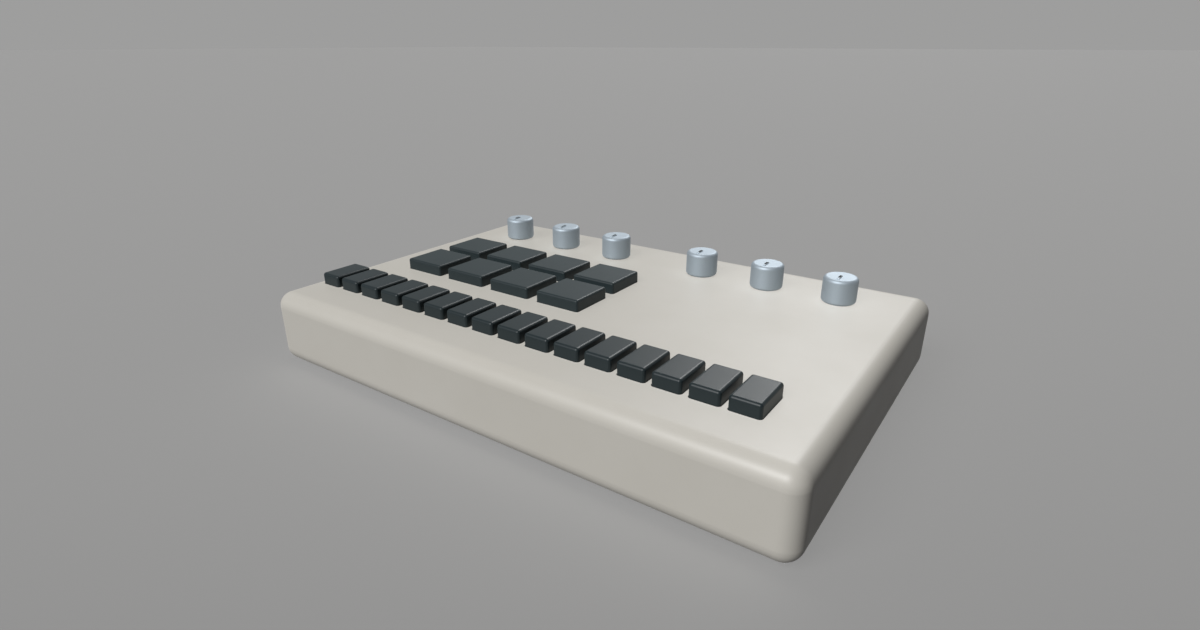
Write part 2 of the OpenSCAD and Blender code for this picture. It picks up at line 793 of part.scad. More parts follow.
module board_standoffs() color([0.8, 0.66, 0.3]) {
    for (p = STANDOFFS) translate([p.x, p.y, main_z]) difference() {
        cylinder(h = standoff_l, r = standoff_r, $fn = 6);
        translate([0, 0, -e]) cylinder(h = standoff_l + 2 * e, r = board_screw_r + screw_play);
    }
}

module standoff_screws() color([0.6, 0.6, 0.62]) {
    for (p = STANDOFFS) {
        translate([p.x, p.y, main_low_z]) screw(board_screw_r, board_screw_l, board_head_r, board_head_h);
        translate([p.x, p.y, board_z]) mirror([0, 0, 1])
            screw(board_screw_r, board_screw_l, board_head_r, board_head_h);
    }
}

// A flat cable that leaves both headers to the front and turns over in a half circle
module ribbon_cable() color([0.72, 0.72, 0.7]) {
    mid_z = (ribbon_z + ribbon_low_z) / 2;
    turn_r = (ribbon_z - ribbon_low_z + ribbon_t) / 2;
    tail = turn_r + ribbon_tail;
    translate([-ribbon_w / 2, header_y - seat - tail, mid_z]) rotate([90, 0, 90]) linear_extrude(ribbon_w)
        difference() {
            union() {
                circle(turn_r);
                translate([0, -turn_r]) square([tail, 2 * turn_r]);
            }
            circle(turn_r - ribbon_t);
            translate([0, ribbon_t - turn_r]) square([tail + e, 2 * (turn_r - ribbon_t)]);
        }
}

// ---- Rear connectors ----

// A bored hole that opens to the rear
module rear_bore(x, r, depth) {
    translate([x, conn_y + e, axis_z]) rotate([90, 0, 0]) cylinder(h = depth + e, r = r);
}

module jack(x) color([0.15, 0.15, 0.16]) {
    body_l = jack_l + jack_back;
    difference() {
        union() {
            translate([x - jack_body_w / 2, conn_y - jack_flange_t, main_z])
                cube([jack_body_w, jack_flange_t, jack_body_h]);
            translate([x, conn_y, axis_z]) rotate([90, 0, 0]) cylinder(h = body_l, r = jack_barrel_r);
            translate([x - jack_barrel_r, conn_y - body_l, main_z])
                cube([2 * jack_barrel_r, body_l, axis_h]);
        }
        rear_bore(x, jack_r, jack_l);
    }
}

module midi_socket(x) color([0.15, 0.15, 0.16]) {
    key_slot = 2;
    difference() {
        translate([x - midi_body_w / 2, conn_y - midi_body_d, main_z])
            cube([midi_body_w, midi_body_d, midi_body_h]);
        difference() {
            rear_bore(x, midi_r + midi_run, midi_depth);
            rear_bore(x, midi_core_r, midi_depth + 2 * e);
        }
        for (a = MIDI_PIN_ANGLES)
            translate([midi_pin_circle_r * sin(a), 0, -midi_pin_circle_r * cos(a)])
                rear_bore(x, midi_pin_r, midi_depth);
        translate([x - key_slot / 2, conn_y - midi_depth, axis_z + midi_core_r - key_slot / 2])
            cube([key_slot, midi_depth + e, key_slot / 2]);
    }
}

module power_socket() color([0.15, 0.15, 0.16]) {
    difference() {
        translate([power_x - power_body_w / 2, conn_y - power_body_d, main_z])
            cube([power_body_w, power_body_d, power_body_h]);
        rear_bore(power_x, power_r, power_depth);
    }
    translate([power_x, conn_y - power_pin_sink, axis_z]) rotate([90, 0, 0])
        cylinder(h = power_depth, r = power_pin_r);
}

module power_switch_body() color([0.15, 0.15, 0.16]) {
    pocket_w = slider_w + switch_travel + 2 * slot_play;
    pocket_h = slider_h + 2 * slot_play;
    difference() {
        translate([switch_x - switch_body_w / 2, conn_y - switch_body_d, main_z])
            cube([switch_body_w, switch_body_d, switch_body_h]);
        translate([switch_x - pocket_w / 2, slider_y - slot_play, axis_z - pocket_h / 2])
            cube([pocket_w, slider_t + 2 * slot_play, pocket_h]);
        translate([switch_x - switch_slot_w / 2, slider_y, axis_z - switch_slot_h / 2])
            cube([switch_slot_w, switch_body_d, switch_slot_h]);
    }
}

module power_switch_slider() color([0.2, 0.2, 0.21]) {
    reach = half_d - handle_inset - slider_y;
    translate([slider_x - slider_w / 2, slider_y, axis_z - slider_h / 2])
        cube([slider_w, slider_t, slider_h]);
    difference() {
        translate([slider_x - switch_handle_w / 2, slider_y, axis_z - switch_handle_h / 2])
            cube([switch_handle_w, reach, switch_handle_h]);
        for (i = [-1:1])
            translate([slider_x + (3 * i - 0.5) * groove, slider_y + reach - groove, axis_z - slider_h / 2])
                cube([groove, 2 * groove, slider_h]);
    }
}

top_case();
bottom_cover();
for (n = KEYS) step_key(n);
for (n = PADS) pad(n);
for (n = KNOBS) knob(n);
for (n = KNOBS) pot_shaft(n);
pot_bodies();
pot_nuts();
pot_washers();
key_dome_mat();
pad_spring_mat();
pad_sensor_sheet();
control_board();
main_board();
board_screws();
board_standoffs();
standoff_screws();
ribbon_cable();
jack(JACKS[0]);  // headphone_jack
jack(JACKS[1]);  // output_jack_right
jack(JACKS[2]);  // output_jack_left
midi_socket(MIDIS[0]);  // midi_in_socket
midi_socket(MIDIS[1]);  // midi_out_socket
power_socket();
power_switch_body();
power_switch_slider();
rubber_feet();
cover_screws();
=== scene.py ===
"""Finishes, detail pieces, studio and camera of a sixteen-step drum machine, around its packed frame."""

import logging
import math
from collections.abc import Callable
from dataclasses import dataclass
from enum import Enum
from functools import cache
from typing import ClassVar

import bpy
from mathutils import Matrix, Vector


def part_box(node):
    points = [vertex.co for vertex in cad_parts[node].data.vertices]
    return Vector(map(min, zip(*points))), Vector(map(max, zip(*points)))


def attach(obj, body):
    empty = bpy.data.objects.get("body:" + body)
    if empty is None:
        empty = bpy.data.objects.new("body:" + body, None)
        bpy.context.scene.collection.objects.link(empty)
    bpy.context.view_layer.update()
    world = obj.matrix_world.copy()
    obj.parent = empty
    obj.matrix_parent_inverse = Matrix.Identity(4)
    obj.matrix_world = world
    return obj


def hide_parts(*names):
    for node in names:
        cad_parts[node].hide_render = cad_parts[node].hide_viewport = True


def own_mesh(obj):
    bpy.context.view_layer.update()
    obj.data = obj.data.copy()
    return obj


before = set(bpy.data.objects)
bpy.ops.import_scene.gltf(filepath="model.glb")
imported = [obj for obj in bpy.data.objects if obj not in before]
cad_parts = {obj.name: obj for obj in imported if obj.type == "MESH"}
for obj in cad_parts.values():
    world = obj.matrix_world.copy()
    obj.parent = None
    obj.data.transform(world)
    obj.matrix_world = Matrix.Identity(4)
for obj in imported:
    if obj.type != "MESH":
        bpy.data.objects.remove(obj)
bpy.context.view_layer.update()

LOG = logging.getLogger("drum_machine")
CHASSIS = "chassis"
KEYS = [f"step_key_{n:02d}" for n in range(1, 17)]
PADS = [f"pad_{n}" for n in range(1, 9)]
KNOBS = [f"knob_{n}" for n in range(1, 7)]

MM = 0.001
# The height of the case's upper face over the floor
PANEL = 42.0 * MM
# How near an edge or face has to lie to count as near a height, and as right at it
NEAR = 0.1 * MM
TOUCHING = 0.01 * MM
# The least share of a normal that lies along an axis where the face looks that way
FACING = 0.99
WHOLE = (0.0, 1.0)

Colour = tuple[float, float, float]
Span = tuple[float, float]
Test = Callable[..., bool]
Socket = bpy.types.NodeSocket
Material = bpy.types.Material
Piece = bpy.types.Object


class Slot(Enum):
    """The record's material slots of the new pieces, which are passed along but not used."""

    KEY = "key_plastic"
    PAD = "pad_rubber"
    KNOB = "knob_plastic"
    POINTER = "pointer_ink"
    CONTACT = "shaft_metal"
    COLLAR = "nut_metal"
    COVER_SCREW = "cover_screw_steel"
    FOOT = "foot_rubber"
    SILICONE = "silicone"


class Axis(Enum):
    """The way a round primitive stands."""

    UP = (0.0, 0.0, 0.0)
    REAR = (-math.pi / 2, 0.0, 0.0)


class Pick(Enum):
    """What a selection in edit mode holds."""

    FACES = "FACE"
    EDGES = "EDGE"


# ---- Finishes ----


class Sheet:
    """One shader node tree, with short calls to place nodes on it and join them."""

    def __init__(self, tree: bpy.types.NodeTree) -> None:
        """Takes the tree that the nodes go on."""
        self.tree = tree

    def feed(self, into: Socket, value: object) -> None:
        """Joins an input to a socket, or sets it to a value.

        Args:
            into: The input.
            value: A socket or a value.
        """
        if isinstance(value, Socket):
            self.tree.links.new(value, into)
        else:
            into.default_value = value

    def fill(self, node: bpy.types.Node, sockets: dict[str, object]) -> None:
        """Feeds a node's inputs, by name with underscores for spaces."""
        for name, value in sockets.items():
            self.feed(node.inputs[name.replace("_", " ")], value)

    def add(self, kind: str, **sockets: object) -> bpy.types.Node:
        """Places a node and feeds its inputs.

        Args:
            kind: Blender's name for the node type.
            **sockets: Values or sockets by input name, with underscores for spaces.

        Returns:
            The new node.
        """
        node = self.tree.nodes.new(kind)
        self.fill(node, sockets)
        return node

    def effect(self, group: bpy.types.NodeTree, **sockets: object) -> bpy.types.NodeOutputs:
        """Places a shared group.

        Args:
            group: The group.
            **sockets: Values or sockets by input name, with underscores for spaces.

        Returns:
            The group node's outputs.
        """
        node = self.add("ShaderNodeGroup")
        node.node_tree = group
        self.fill(node, sockets)
        return node.outputs

    def place(self) -> Socket:
        """Gives the object coordinate."""
        return self.add("ShaderNodeTexCoord").outputs["Object"]

    def axes(self) -> bpy.types.NodeOutputs:
        """Gives the object coordinate's X, Y and Z."""
        return self.add("ShaderNodeSeparateXYZ", Vector=self.place()).outputs

    def seen(self) -> Socket:
        """Masks the rays that come from the camera, a reflection or glass.

        Returns:
            The mask.
        """
        path = self.add("ShaderNodeLightPath").outputs
        direct = self.compute("MAXIMUM", path["Is Camera Ray"], path["Is Glossy Ray"])
        return self.compute("MAXIMUM", direct, path["Is Transmission Ray"])

    def noise(self, place: Socket, scale: Socket, detail: float, roughness: float) -> Socket:
        """Places a noise texture.

        Args:
            place: The coordinate that it lies on.
            scale: Its waves per metre.
            detail: How many finer layers it has.
            roughness: How strong those layers are.

        Returns:
            The noise, from 0 to 1.
        """
        node = self.add("ShaderNodeTexNoise", Vector=place, Scale=scale, Detail=detail, Roughness=roughness)
        return node.outputs[0]

    def compute(self, operation: str, first: object, second: object = 0.0, clamp: bool = False) -> Socket:
        """Places a Math node on one or two values.

        Args:
            operation: Blender's name for the operation.
            first: A socket or a number.
            second: A socket or a number.
            clamp: Whether the result is kept between 0 and 1.

        Returns:
            The result.
        """
        node = self.add("ShaderNodeMath")
        node.operation = operation
        node.use_clamp = clamp
        self.feed(node.inputs[0], first)
        self.feed(node.inputs[1], second)
        return node.outputs[0]

    def dot(self, first: object, second: object) -> Socket:
        """Places the dot product of two vectors.

        Args:
            first: A socket or a vector.
            second: A socket or a vector.

        Returns:
            The product.
        """
        node = self.add("ShaderNodeVectorMath")
        node.operation = "DOT_PRODUCT"
        self.feed(node.inputs[0], first)
        self.feed(node.inputs[1], second)
        return node.outputs["Value"]

    def remap(self, value: Socket, span: Span, onto: Span = WHOLE) -> Socket:
        """Maps one span of values onto another and clamps it there.

        Args:
            value: The socket that gives the value.
            span: The span it comes from.
            onto: The span it goes onto.

        Returns:
            The mapped value.
        """
        node = self.add("ShaderNodeMapRange", Value=value, From_Min=span[0], From_Max=span[1])
        self.fill(node, {"To_Min": onto[0], "To_Max": onto[1]})
        return node.outputs["Result"]

    def blend(self, mask: Socket, low: object, high: object) -> Socket:
        """Blends two colours by a mask.

        Args:
            mask: The share of the second colour.
            low: A colour or a socket, where the mask is 0.
            high: A colour or a socket, where the mask is 1.

        Returns:
            The blended colour.
        """
        node = self.add("ShaderNodeMix")
        node.data_type = "RGBA"
        self.feed(node.inputs[0], mask)
        for number, colour in ((6, low), (7, high)):
            self.feed(node.inputs[number], colour if isinstance(colour, Socket) else (*colour, 1.0))
        return node.outputs[2]


class Paint(Sheet):
    """A new material's node tree, around its Principled shader."""

    def __init__(self, name: str, **sockets: object) -> None:
        """Makes the material.

        Args:
            name: The material's name.
            **sockets: Values of the shader's inputs by name, with underscores for spaces.
        """
        self.material = bpy.data.materials.new(name)
        self.material.use_nodes = True
        super().__init__(self.material.node_tree)
        self.shader = self.tree.nodes["Principled BSDF"]
        self.fill(self.shader, sockets)

    def dress(
        self,
        colour: Socket,
        gloss: Socket,
        roughness: Span,
        height: Socket,
        depth: float,
        strength: float = 1.0,
    ) -> Material:
        """Feeds the shader's colour, roughness and normal.

        Args:
            colour: The colour.
            gloss: The mask that the roughness follows.
            roughness: The lowest and highest roughness.
            height: The relief, from 0 to 1.
            depth: The relief's depth in metres.
            strength: The share of the relief that shows.

        Returns:
            The finished material.
        """
        bump = self.add("ShaderNodeBump", Strength=strength, Distance=depth, Height=height)
        rough = self.remap(gloss, WHOLE, roughness)
        self.fill(self.shader, {"Base_Color": colour, "Roughness": rough, "Normal": bump.outputs[0]})
        return self.material


class Effects:
    """The shader node groups that several finishes share, each built when it is first asked for."""

    @staticmethod
    def _group(
        name: str, inputs: dict[str, float], *outputs: str
    ) -> tuple[Sheet, bpy.types.NodeOutputs, bpy.types.NodeInputs]:
        """Makes an empty group with its sockets.

        Args:
            name: The group's name.
            inputs: The default value of each input by name.
            *outputs: The names of the outputs.

        Returns:
            The group's sheet, what it is given and what it makes.
        """
        tree = bpy.data.node_groups.new(name, "ShaderNodeTree")
        for label, value in inputs.items():
            socket = tree.interface.new_socket(label, in_out="INPUT", socket_type="NodeSocketFloat")
            socket.default_value = value
        for label in outputs:
            tree.interface.new_socket(label, in_out="OUTPUT", socket_type="NodeSocketFloat")
        sheet = Sheet(tree)
        return sheet, sheet.add("NodeGroupInput").outputs, sheet.add("NodeGroupOutput").inputs

    @staticmethod
    @cache
    def grain() -> bpy.types.NodeTree:
        """Fine tool grain with a slow mottle under it.

        Returns:
            The group, with a Height and a Mottle output.
        """
        sheet, given, made = Effects._group(
            "tool_grain", {"Scale": 2000.0, "Mottle Scale": 30.0}, "Height", "Mottle"
        )
        place = sheet.place()
        slow = sheet.noise(place, given["Mottle Scale"], detail=4.0, roughness=0.55)
        sheet.feed(made["Height"], sheet.noise(place, given["Scale"], detail=3.0, roughness=0.6))
        sheet.feed(made["Mottle"], sheet.remap(slow, span=(0.3, 0.7)))
        return sheet.tree

    @staticmethod
    @cache
    def wear() -> bpy.types.NodeTree:
        """Rubbed edges, also a painted highlight on keys and pads: where the rounded normal leaves the true
        one, broken up by noise.

        Returns:
            The group, with a Mask output.
        """
        sheet, given, made = Effects._group(
            "edge_wear", {"Radius": 0.6 * MM, "Breakup": 400.0, "Amount": 0.5}, "Mask"
        )
        rounded = sheet.add("ShaderNodeBevel", Radius=given["Radius"])
        rounded.samples = 4
        turn = sheet.dot(rounded.outputs[0], sheet.add("ShaderNodeNewGeometry").outputs["Normal"])
        edge = sheet.remap(turn, span=(0.995, 0.85))
        noise = sheet.noise(sheet.place(), given["Breakup"], detail=4.0, roughness=0.65)
        worn = sheet.compute("MULTIPLY", edge, sheet.remap(noise, span=(0.4, 0.65)))
        sheet.feed(made["Mask"], sheet.compute("MULTIPLY", worn, given["Amount"], clamp=True))
        return sheet.tree

    @staticmethod
    @cache
    def lines() -> bpy.types.NodeTree:
        """Fine turning or brushing lines that run along X.

        Returns:
            The group, with a Height and a Streak output.
        """
        sheet, given, made = Effects._group(
            "tool_lines", {"Scale": 900.0, "Stretch": 0.05}, "Height", "Streak"
        )
        axes = sheet.axes()
        along = sheet.compute("MULTIPLY", axes["X"], given["Stretch"])
        drawn = sheet.add("ShaderNodeCombineXYZ", X=along, Y=axes["Y"], Z=axes["Z"])
        noise = sheet.noise(drawn.outputs[0], given["Scale"], detail=5.0, roughness=0.7)
        sheet.feed(made["Height"], noise)
        sheet.feed(made["Streak"], sheet.remap(noise, span=(0.35, 0.65)))
        return sheet.tree


@dataclass(frozen=True)
class Moulding:
    """A moulded plastic or rubber finish.

    Attributes:
        name: The material's name.
        colour: The main colour.
        shade: The colour of the mottle.
        worn: The colour of rubbed edges; on the keys and pads, partly a painted edge highlight.
        roughness: The lowest and highest roughness.
        grain: How fine the tool grain is, in waves per metre.
        grain_depth: The grain's depth in metres.
        mottle: How fine the mottle is, in waves per metre.
        wear: How strongly the edges are rubbed.
        wear_radius: How far the wear reaches from an edge, in metres.
        metallic: The share of metallic flake.
        specular: The strength of the plain reflection.
        sheen: The strength of the soft bloom of rubber or satin plastic.
        bloom: The colour of that bloom.
        foot: The height up to which the piece's foot is fully darkened with painted shade, or 0 for none.
        painted_shade_reach: How far above it the painted shade fades out.
        painted_shade_colour: The colour of the painted shade.
    """

    name: str
    colour: Colour
    shade: Colour
    worn: Colour
    roughness: Span
    grain: float = 2200.0
    grain_depth: float = 0.012 * MM
    mottle: float = 24.0
    wear: float = 0.25
    wear_radius: float = 0.6 * MM
    metallic: float = 0.0
    specular: float = 0.5
    sheen: float = 0.0
    bloom: Colour = (1.0, 1.0, 1.0)
    foot: float = 0.0
    painted_shade_reach: float = 1.0 * MM
    painted_shade_colour: Colour = (0.01, 0.013, 0.015)

    def material(self) -> Material:
        """Builds the material.

        Returns:
            The material.
        """
        paint = Paint(self.name, Metallic=self.metallic, Specular_IOR_Level=self.specular)
        paint.fill(paint.shader, {"Sheen_Weight": self.sheen, "Sheen_Tint": (*self.bloom, 1.0)})
        grain = paint.effect(Effects.grain(), Scale=self.grain, Mottle_Scale=self.mottle)
        colour = paint.blend(grain["Mottle"], self.colour, self.shade)
        # Lighter rubbed edges; on the keys and pads they are partly a painted highlight.
        if self.wear > 0:
            rubbed = paint.effect(Effects.wear(), Radius=self.wear_radius, Amount=self.wear)
            colour = paint.blend(rubbed["Mask"], colour, self.worn)
        # Painted shade: the colour darkens towards the piece's foot, where it stands on the panel.
        if self.foot > 0:
            reach = (self.foot, self.foot + self.painted_shade_reach)
            painted_shade = paint.remap(paint.axes()["Z"], reach, onto=(1.0, 0.0))
            colour = paint.blend(painted_shade, colour, self.painted_shade_colour)
        return paint.dress(colour, grain["Mottle"], self.roughness, grain["Height"], self.grain_depth)


@dataclass(frozen=True)
class Metalwork:
    """A turned, stamped or plated metal finish.

    Attributes:
        name: The material's name.
        colour: The bright colour.
        dull: The colour in the tool lines.
        roughness: The lowest and highest roughness.
        lines: How fine the tool lines are, in waves per metre.
        depth: The lines' depth in metres.
    """

    name: str
    colour: Colour
    dull: Colour
    roughness: Span
    lines: float = 1500.0
    depth: float = 0.006 * MM

    def material(self) -> Material:
        """Builds the material.

        Returns:
            The material.
        """
        paint = Paint(self.name, Metallic=1.0)
        lines = paint.effect(Effects.lines(), Scale=self.lines)
        colour = paint.blend(lines["Streak"], self.dull, self.colour)
        return paint.dress(colour, lines["Streak"], self.roughness, lines["Height"], self.depth)


@dataclass(frozen=True)
class Laminate:
    """A circuit board: lacquered laminate with copper tracks under the lacquer.

    Attributes:
        name: The material's name.
        lacquer: The colour between the tracks.
        track: The colour over the tracks.
        pitch: The spacing of the tracks in metres.
        cells: How many fields of tracks cross one spacing.
        gloss: The weight of the lacquer's own reflection.
        roughness: The lowest and highest roughness.
        depth: How far the tracks stand out, in metres.
        edge: The share of that relief that shows through the lacquer.
    """

    name: str
    lacquer: Colour
    track: Colour
    pitch: float = 2.5 * MM
    cells: float = 0.12
    gloss: float = 0.4
    roughness: Span = (0.28, 0.4)
    depth: float = 0.03 * MM
    edge: float = 0.6

    def material(self) -> Material:
        """Builds the material.

        Returns:
            The material.
        """
        paint = Paint(self.name, Coat_Weight=self.gloss)
        cells = paint.add("ShaderNodeTexVoronoi", Vector=paint.place(), Scale=self.cells / self.pitch)
        cells.distance = "MANHATTAN"
        tracks = paint.add(
            "ShaderNodeTexWave", Vector=cells.outputs["Color"], Scale=1 / self.pitch, Distortion=0.0
        )
        tracks.wave_type = "BANDS"
        tracks.bands_direction = "DIAGONAL"
        mask = paint.remap(tracks.outputs["Fac"], span=(0.45, 0.55))
        grain = paint.effect(Effects.grain(), Scale=1200.0, Mottle_Scale=90.0)
        colour = paint.blend(mask, self.lacquer, self.track)
        return paint.dress(colour, grain["Mottle"], self.roughness, mask, self.depth, self.edge)


@dataclass(frozen=True)
class Ribbon:
    """A flat cable: grey cores side by side, with painted shade in the grooves between them.

    Attributes:
        name: The material's name.
        colour: The colour of the cores.
        painted_groove_shade: The darker colour between the cores, a painted shade in the grooves.
        pitch: The spacing of the cores in metres.
        roughness: The lowest and highest roughness.
        depth: The height of the cores in metres.
    """

    name: str
    colour: Colour
    painted_groove_shade: Colour
    pitch: float = 1.27 * MM
    roughness: Span = (0.38, 0.5)
    depth: float = 0.2 * MM

    def material(self) -> Material:
        """Builds the material.

        Returns:
            The material.
        """
        paint = Paint(self.name)
        phase = paint.compute("MULTIPLY", paint.axes()["X"], math.pi / self.pitch)
        wave = paint.compute("ABSOLUTE", paint.compute("COSINE", phase))
        core = paint.remap(wave, span=(0.05, 0.35))
        grain = paint.effect(Effects.grain(), Scale=1500.0, Mottle_Scale=60.0)
        # Painted shade: the grooves between the cores take the darker colour.
        colour = paint.blend(core, self.painted_groove_shade, self.colour)
        return paint.dress(colour, grain["Mottle"], self.roughness, wave, self.depth)


@dataclass(frozen=True)
class Paintbox:
    """Every finish of the machine, by what it is used for."""

    case: Moulding = Moulding(
        "warm_white_shell", (0.60, 0.578, 0.528), (0.575, 0.552, 0.500), (0.70, 0.685, 0.64), (0.43, 0.48),
        grain=1800.0, grain_depth=0.006 * MM, wear=0.15, wear_radius=0.5 * MM,
    )
    cover: Moulding = Moulding(
        "grey_cover", (0.115, 0.115, 0.112), (0.095, 0.095, 0.093), (0.2, 0.2, 0.195), (0.5, 0.62),
        grain=1300.0, grain_depth=0.03 * MM,
    )
    # The keys' lighter edges are partly rubbed wear and partly a painted edge highlight.
    key: Moulding = Moulding(
        "slate_key", (0.009, 0.018, 0.022), (0.007, 0.015, 0.018), (0.055, 0.07, 0.075), (0.38, 0.44),
        grain=2600.0, grain_depth=0.006 * MM, wear=0.06, specular=0.36, sheen=0.05, bloom=(0.7, 0.95, 1.0),
    )
    # The pads' lighter edges are partly rubbed wear and partly a painted edge highlight.
    pad: Moulding = Moulding(
        "slate_pad_rubber", (0.012, 0.022, 0.026), (0.010, 0.019, 0.022), (0.055, 0.07, 0.075), (0.44, 0.52),
        grain=2000.0, grain_depth=0.01 * MM, wear=0.06, specular=0.35, sheen=0.07, bloom=(0.7, 0.95, 1.0),
    )
    # The knobs get painted shade along their foot, just above the panel.
    knob: Moulding = Moulding(
        "blue_grey_knob", (0.43, 0.495, 0.55), (0.405, 0.467, 0.52), (0.55, 0.63, 0.69), (0.60, 0.65),
        grain=2600.0, grain_depth=0.005 * MM, metallic=0.8, specular=0.8, foot=PANEL + 0.3 * MM,
    )
    pointer: Moulding = Moulding(
        "dark_pointer", (0.012, 0.014, 0.016), (0.01, 0.012, 0.014), (0.03, 0.033, 0.036), (0.5, 0.58),
        grain=2600.0, grain_depth=0.004 * MM, wear=0.0, specular=0.12,
    )
    silicone: Moulding = Moulding(
        "cloudy_silicone", (0.55, 0.55, 0.52), (0.48, 0.48, 0.46), (0.62, 0.62, 0.6), (0.42, 0.55),
        grain=900.0, grain_depth=0.01 * MM, wear=0.0, sheen=0.2,
    )
    film: Moulding = Moulding(
        "amber_film", (0.42, 0.2, 0.04), (0.36, 0.17, 0.035), (0.5, 0.3, 0.1), (0.22, 0.3),
        grain=600.0, grain_depth=0.004 * MM, wear=0.0,
    )
    connector: Moulding = Moulding(
        "black_connector", (0.02, 0.02, 0.022), (0.016, 0.016, 0.018), (0.05, 0.05, 0.05), (0.36, 0.46),
        grain=2400.0, grain_depth=0.008 * MM,
    )
    switch: Moulding = Moulding(
        "dark_switch", (0.03, 0.03, 0.032), (0.024, 0.024, 0.026), (0.09, 0.09, 0.09), (0.4, 0.5),
        grain=2400.0, grain_depth=0.008 * MM,
    )
    foot: Moulding = Moulding(
        "foot_rubber", (0.022, 0.022, 0.023), (0.03, 0.03, 0.03), (0.05, 0.05, 0.05), (0.7, 0.82),
        grain=1600.0, grain_depth=0.02 * MM, sheen=0.15,
    )
    shaft: Metalwork = Metalwork("turned_shaft", (0.72, 0.72, 0.74), (0.55, 0.55, 0.57), (0.22, 0.34))
    pot: Metalwork = Metalwork("stamped_can", (0.6, 0.61, 0.63), (0.46, 0.47, 0.49), (0.3, 0.42))
    nut: Metalwork = Metalwork("plated_nut", (0.74, 0.74, 0.76), (0.6, 0.6, 0.62), (0.18, 0.3))
    screw: Metalwork = Metalwork("zinc_screw", (0.62, 0.62, 0.64), (0.5, 0.5, 0.52), (0.28, 0.4))
    cover_screw: Metalwork = Metalwork("black_screw", (0.11, 0.11, 0.12), (0.07, 0.07, 0.075), (0.34, 0.46))
    brass: Metalwork = Metalwork("brass_standoff", (0.78, 0.6, 0.26), (0.62, 0.46, 0.19), (0.24, 0.36))
    board: Laminate = Laminate("green_laminate", (0.012, 0.085, 0.035), (0.03, 0.16, 0.06))
    # The ribbon's second, darker colour is painted shade in its grooves.
    ribbon: Ribbon = Ribbon("grey_ribbon", (0.42, 0.42, 0.41), (0.2, 0.2, 0.2))


# ---- The modelling bench ----


def middle_of(node: str) -> Vector:
    """Finds the middle of a CAD node's box."""
    return sum(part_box(node), Vector()) / 2


def above(level: float) -> Test:
    """Makes a test for edges above a height."""
    return lambda a, b: min(a.z, b.z) > level


def below(level: float) -> Test:
    """Makes a test for edges below a height."""
    return lambda a, b: max(a.z, b.z) < level


def around(centre: Vector) -> Test:
    """Makes a test for edges that run round a point."""
    return lambda a, b: abs((a - centre).length - (b - centre).length) < TOUCHING


def looks_up(_: Vector, normal: Vector) -> bool:
    """Tests for faces that look up."""
    return normal.z > FACING


def looks_down(_: Vector, normal: Vector) -> bool:
    """Tests for faces that look down."""
    return normal.z < -FACING


@dataclass(frozen=True)
class Copy:
    """One copy of a master piece.

    Attributes:
        name: Its name.
        shift: How far it lies from the master.
        body: The body that it moves with.
        node: The CAD node that it stands for, if any.
    """

    name: str
    shift: Vector
    body: str = CHASSIS
    node: str | None = None


def numbered(pattern: str, places: list[Vector], node: str | None = None) -> list[Copy]:
    """Lists the copies of a master that stands at the first of their places.

    Args:
        pattern: Their names, with a field for the number.
        places: Their places.
        node: The CAD node that they stand for, if any.

    Returns:
        The copies.
    """
    return [Copy(pattern.format(n), place - places[0], node=node) for n, place in enumerate(places, 1)]


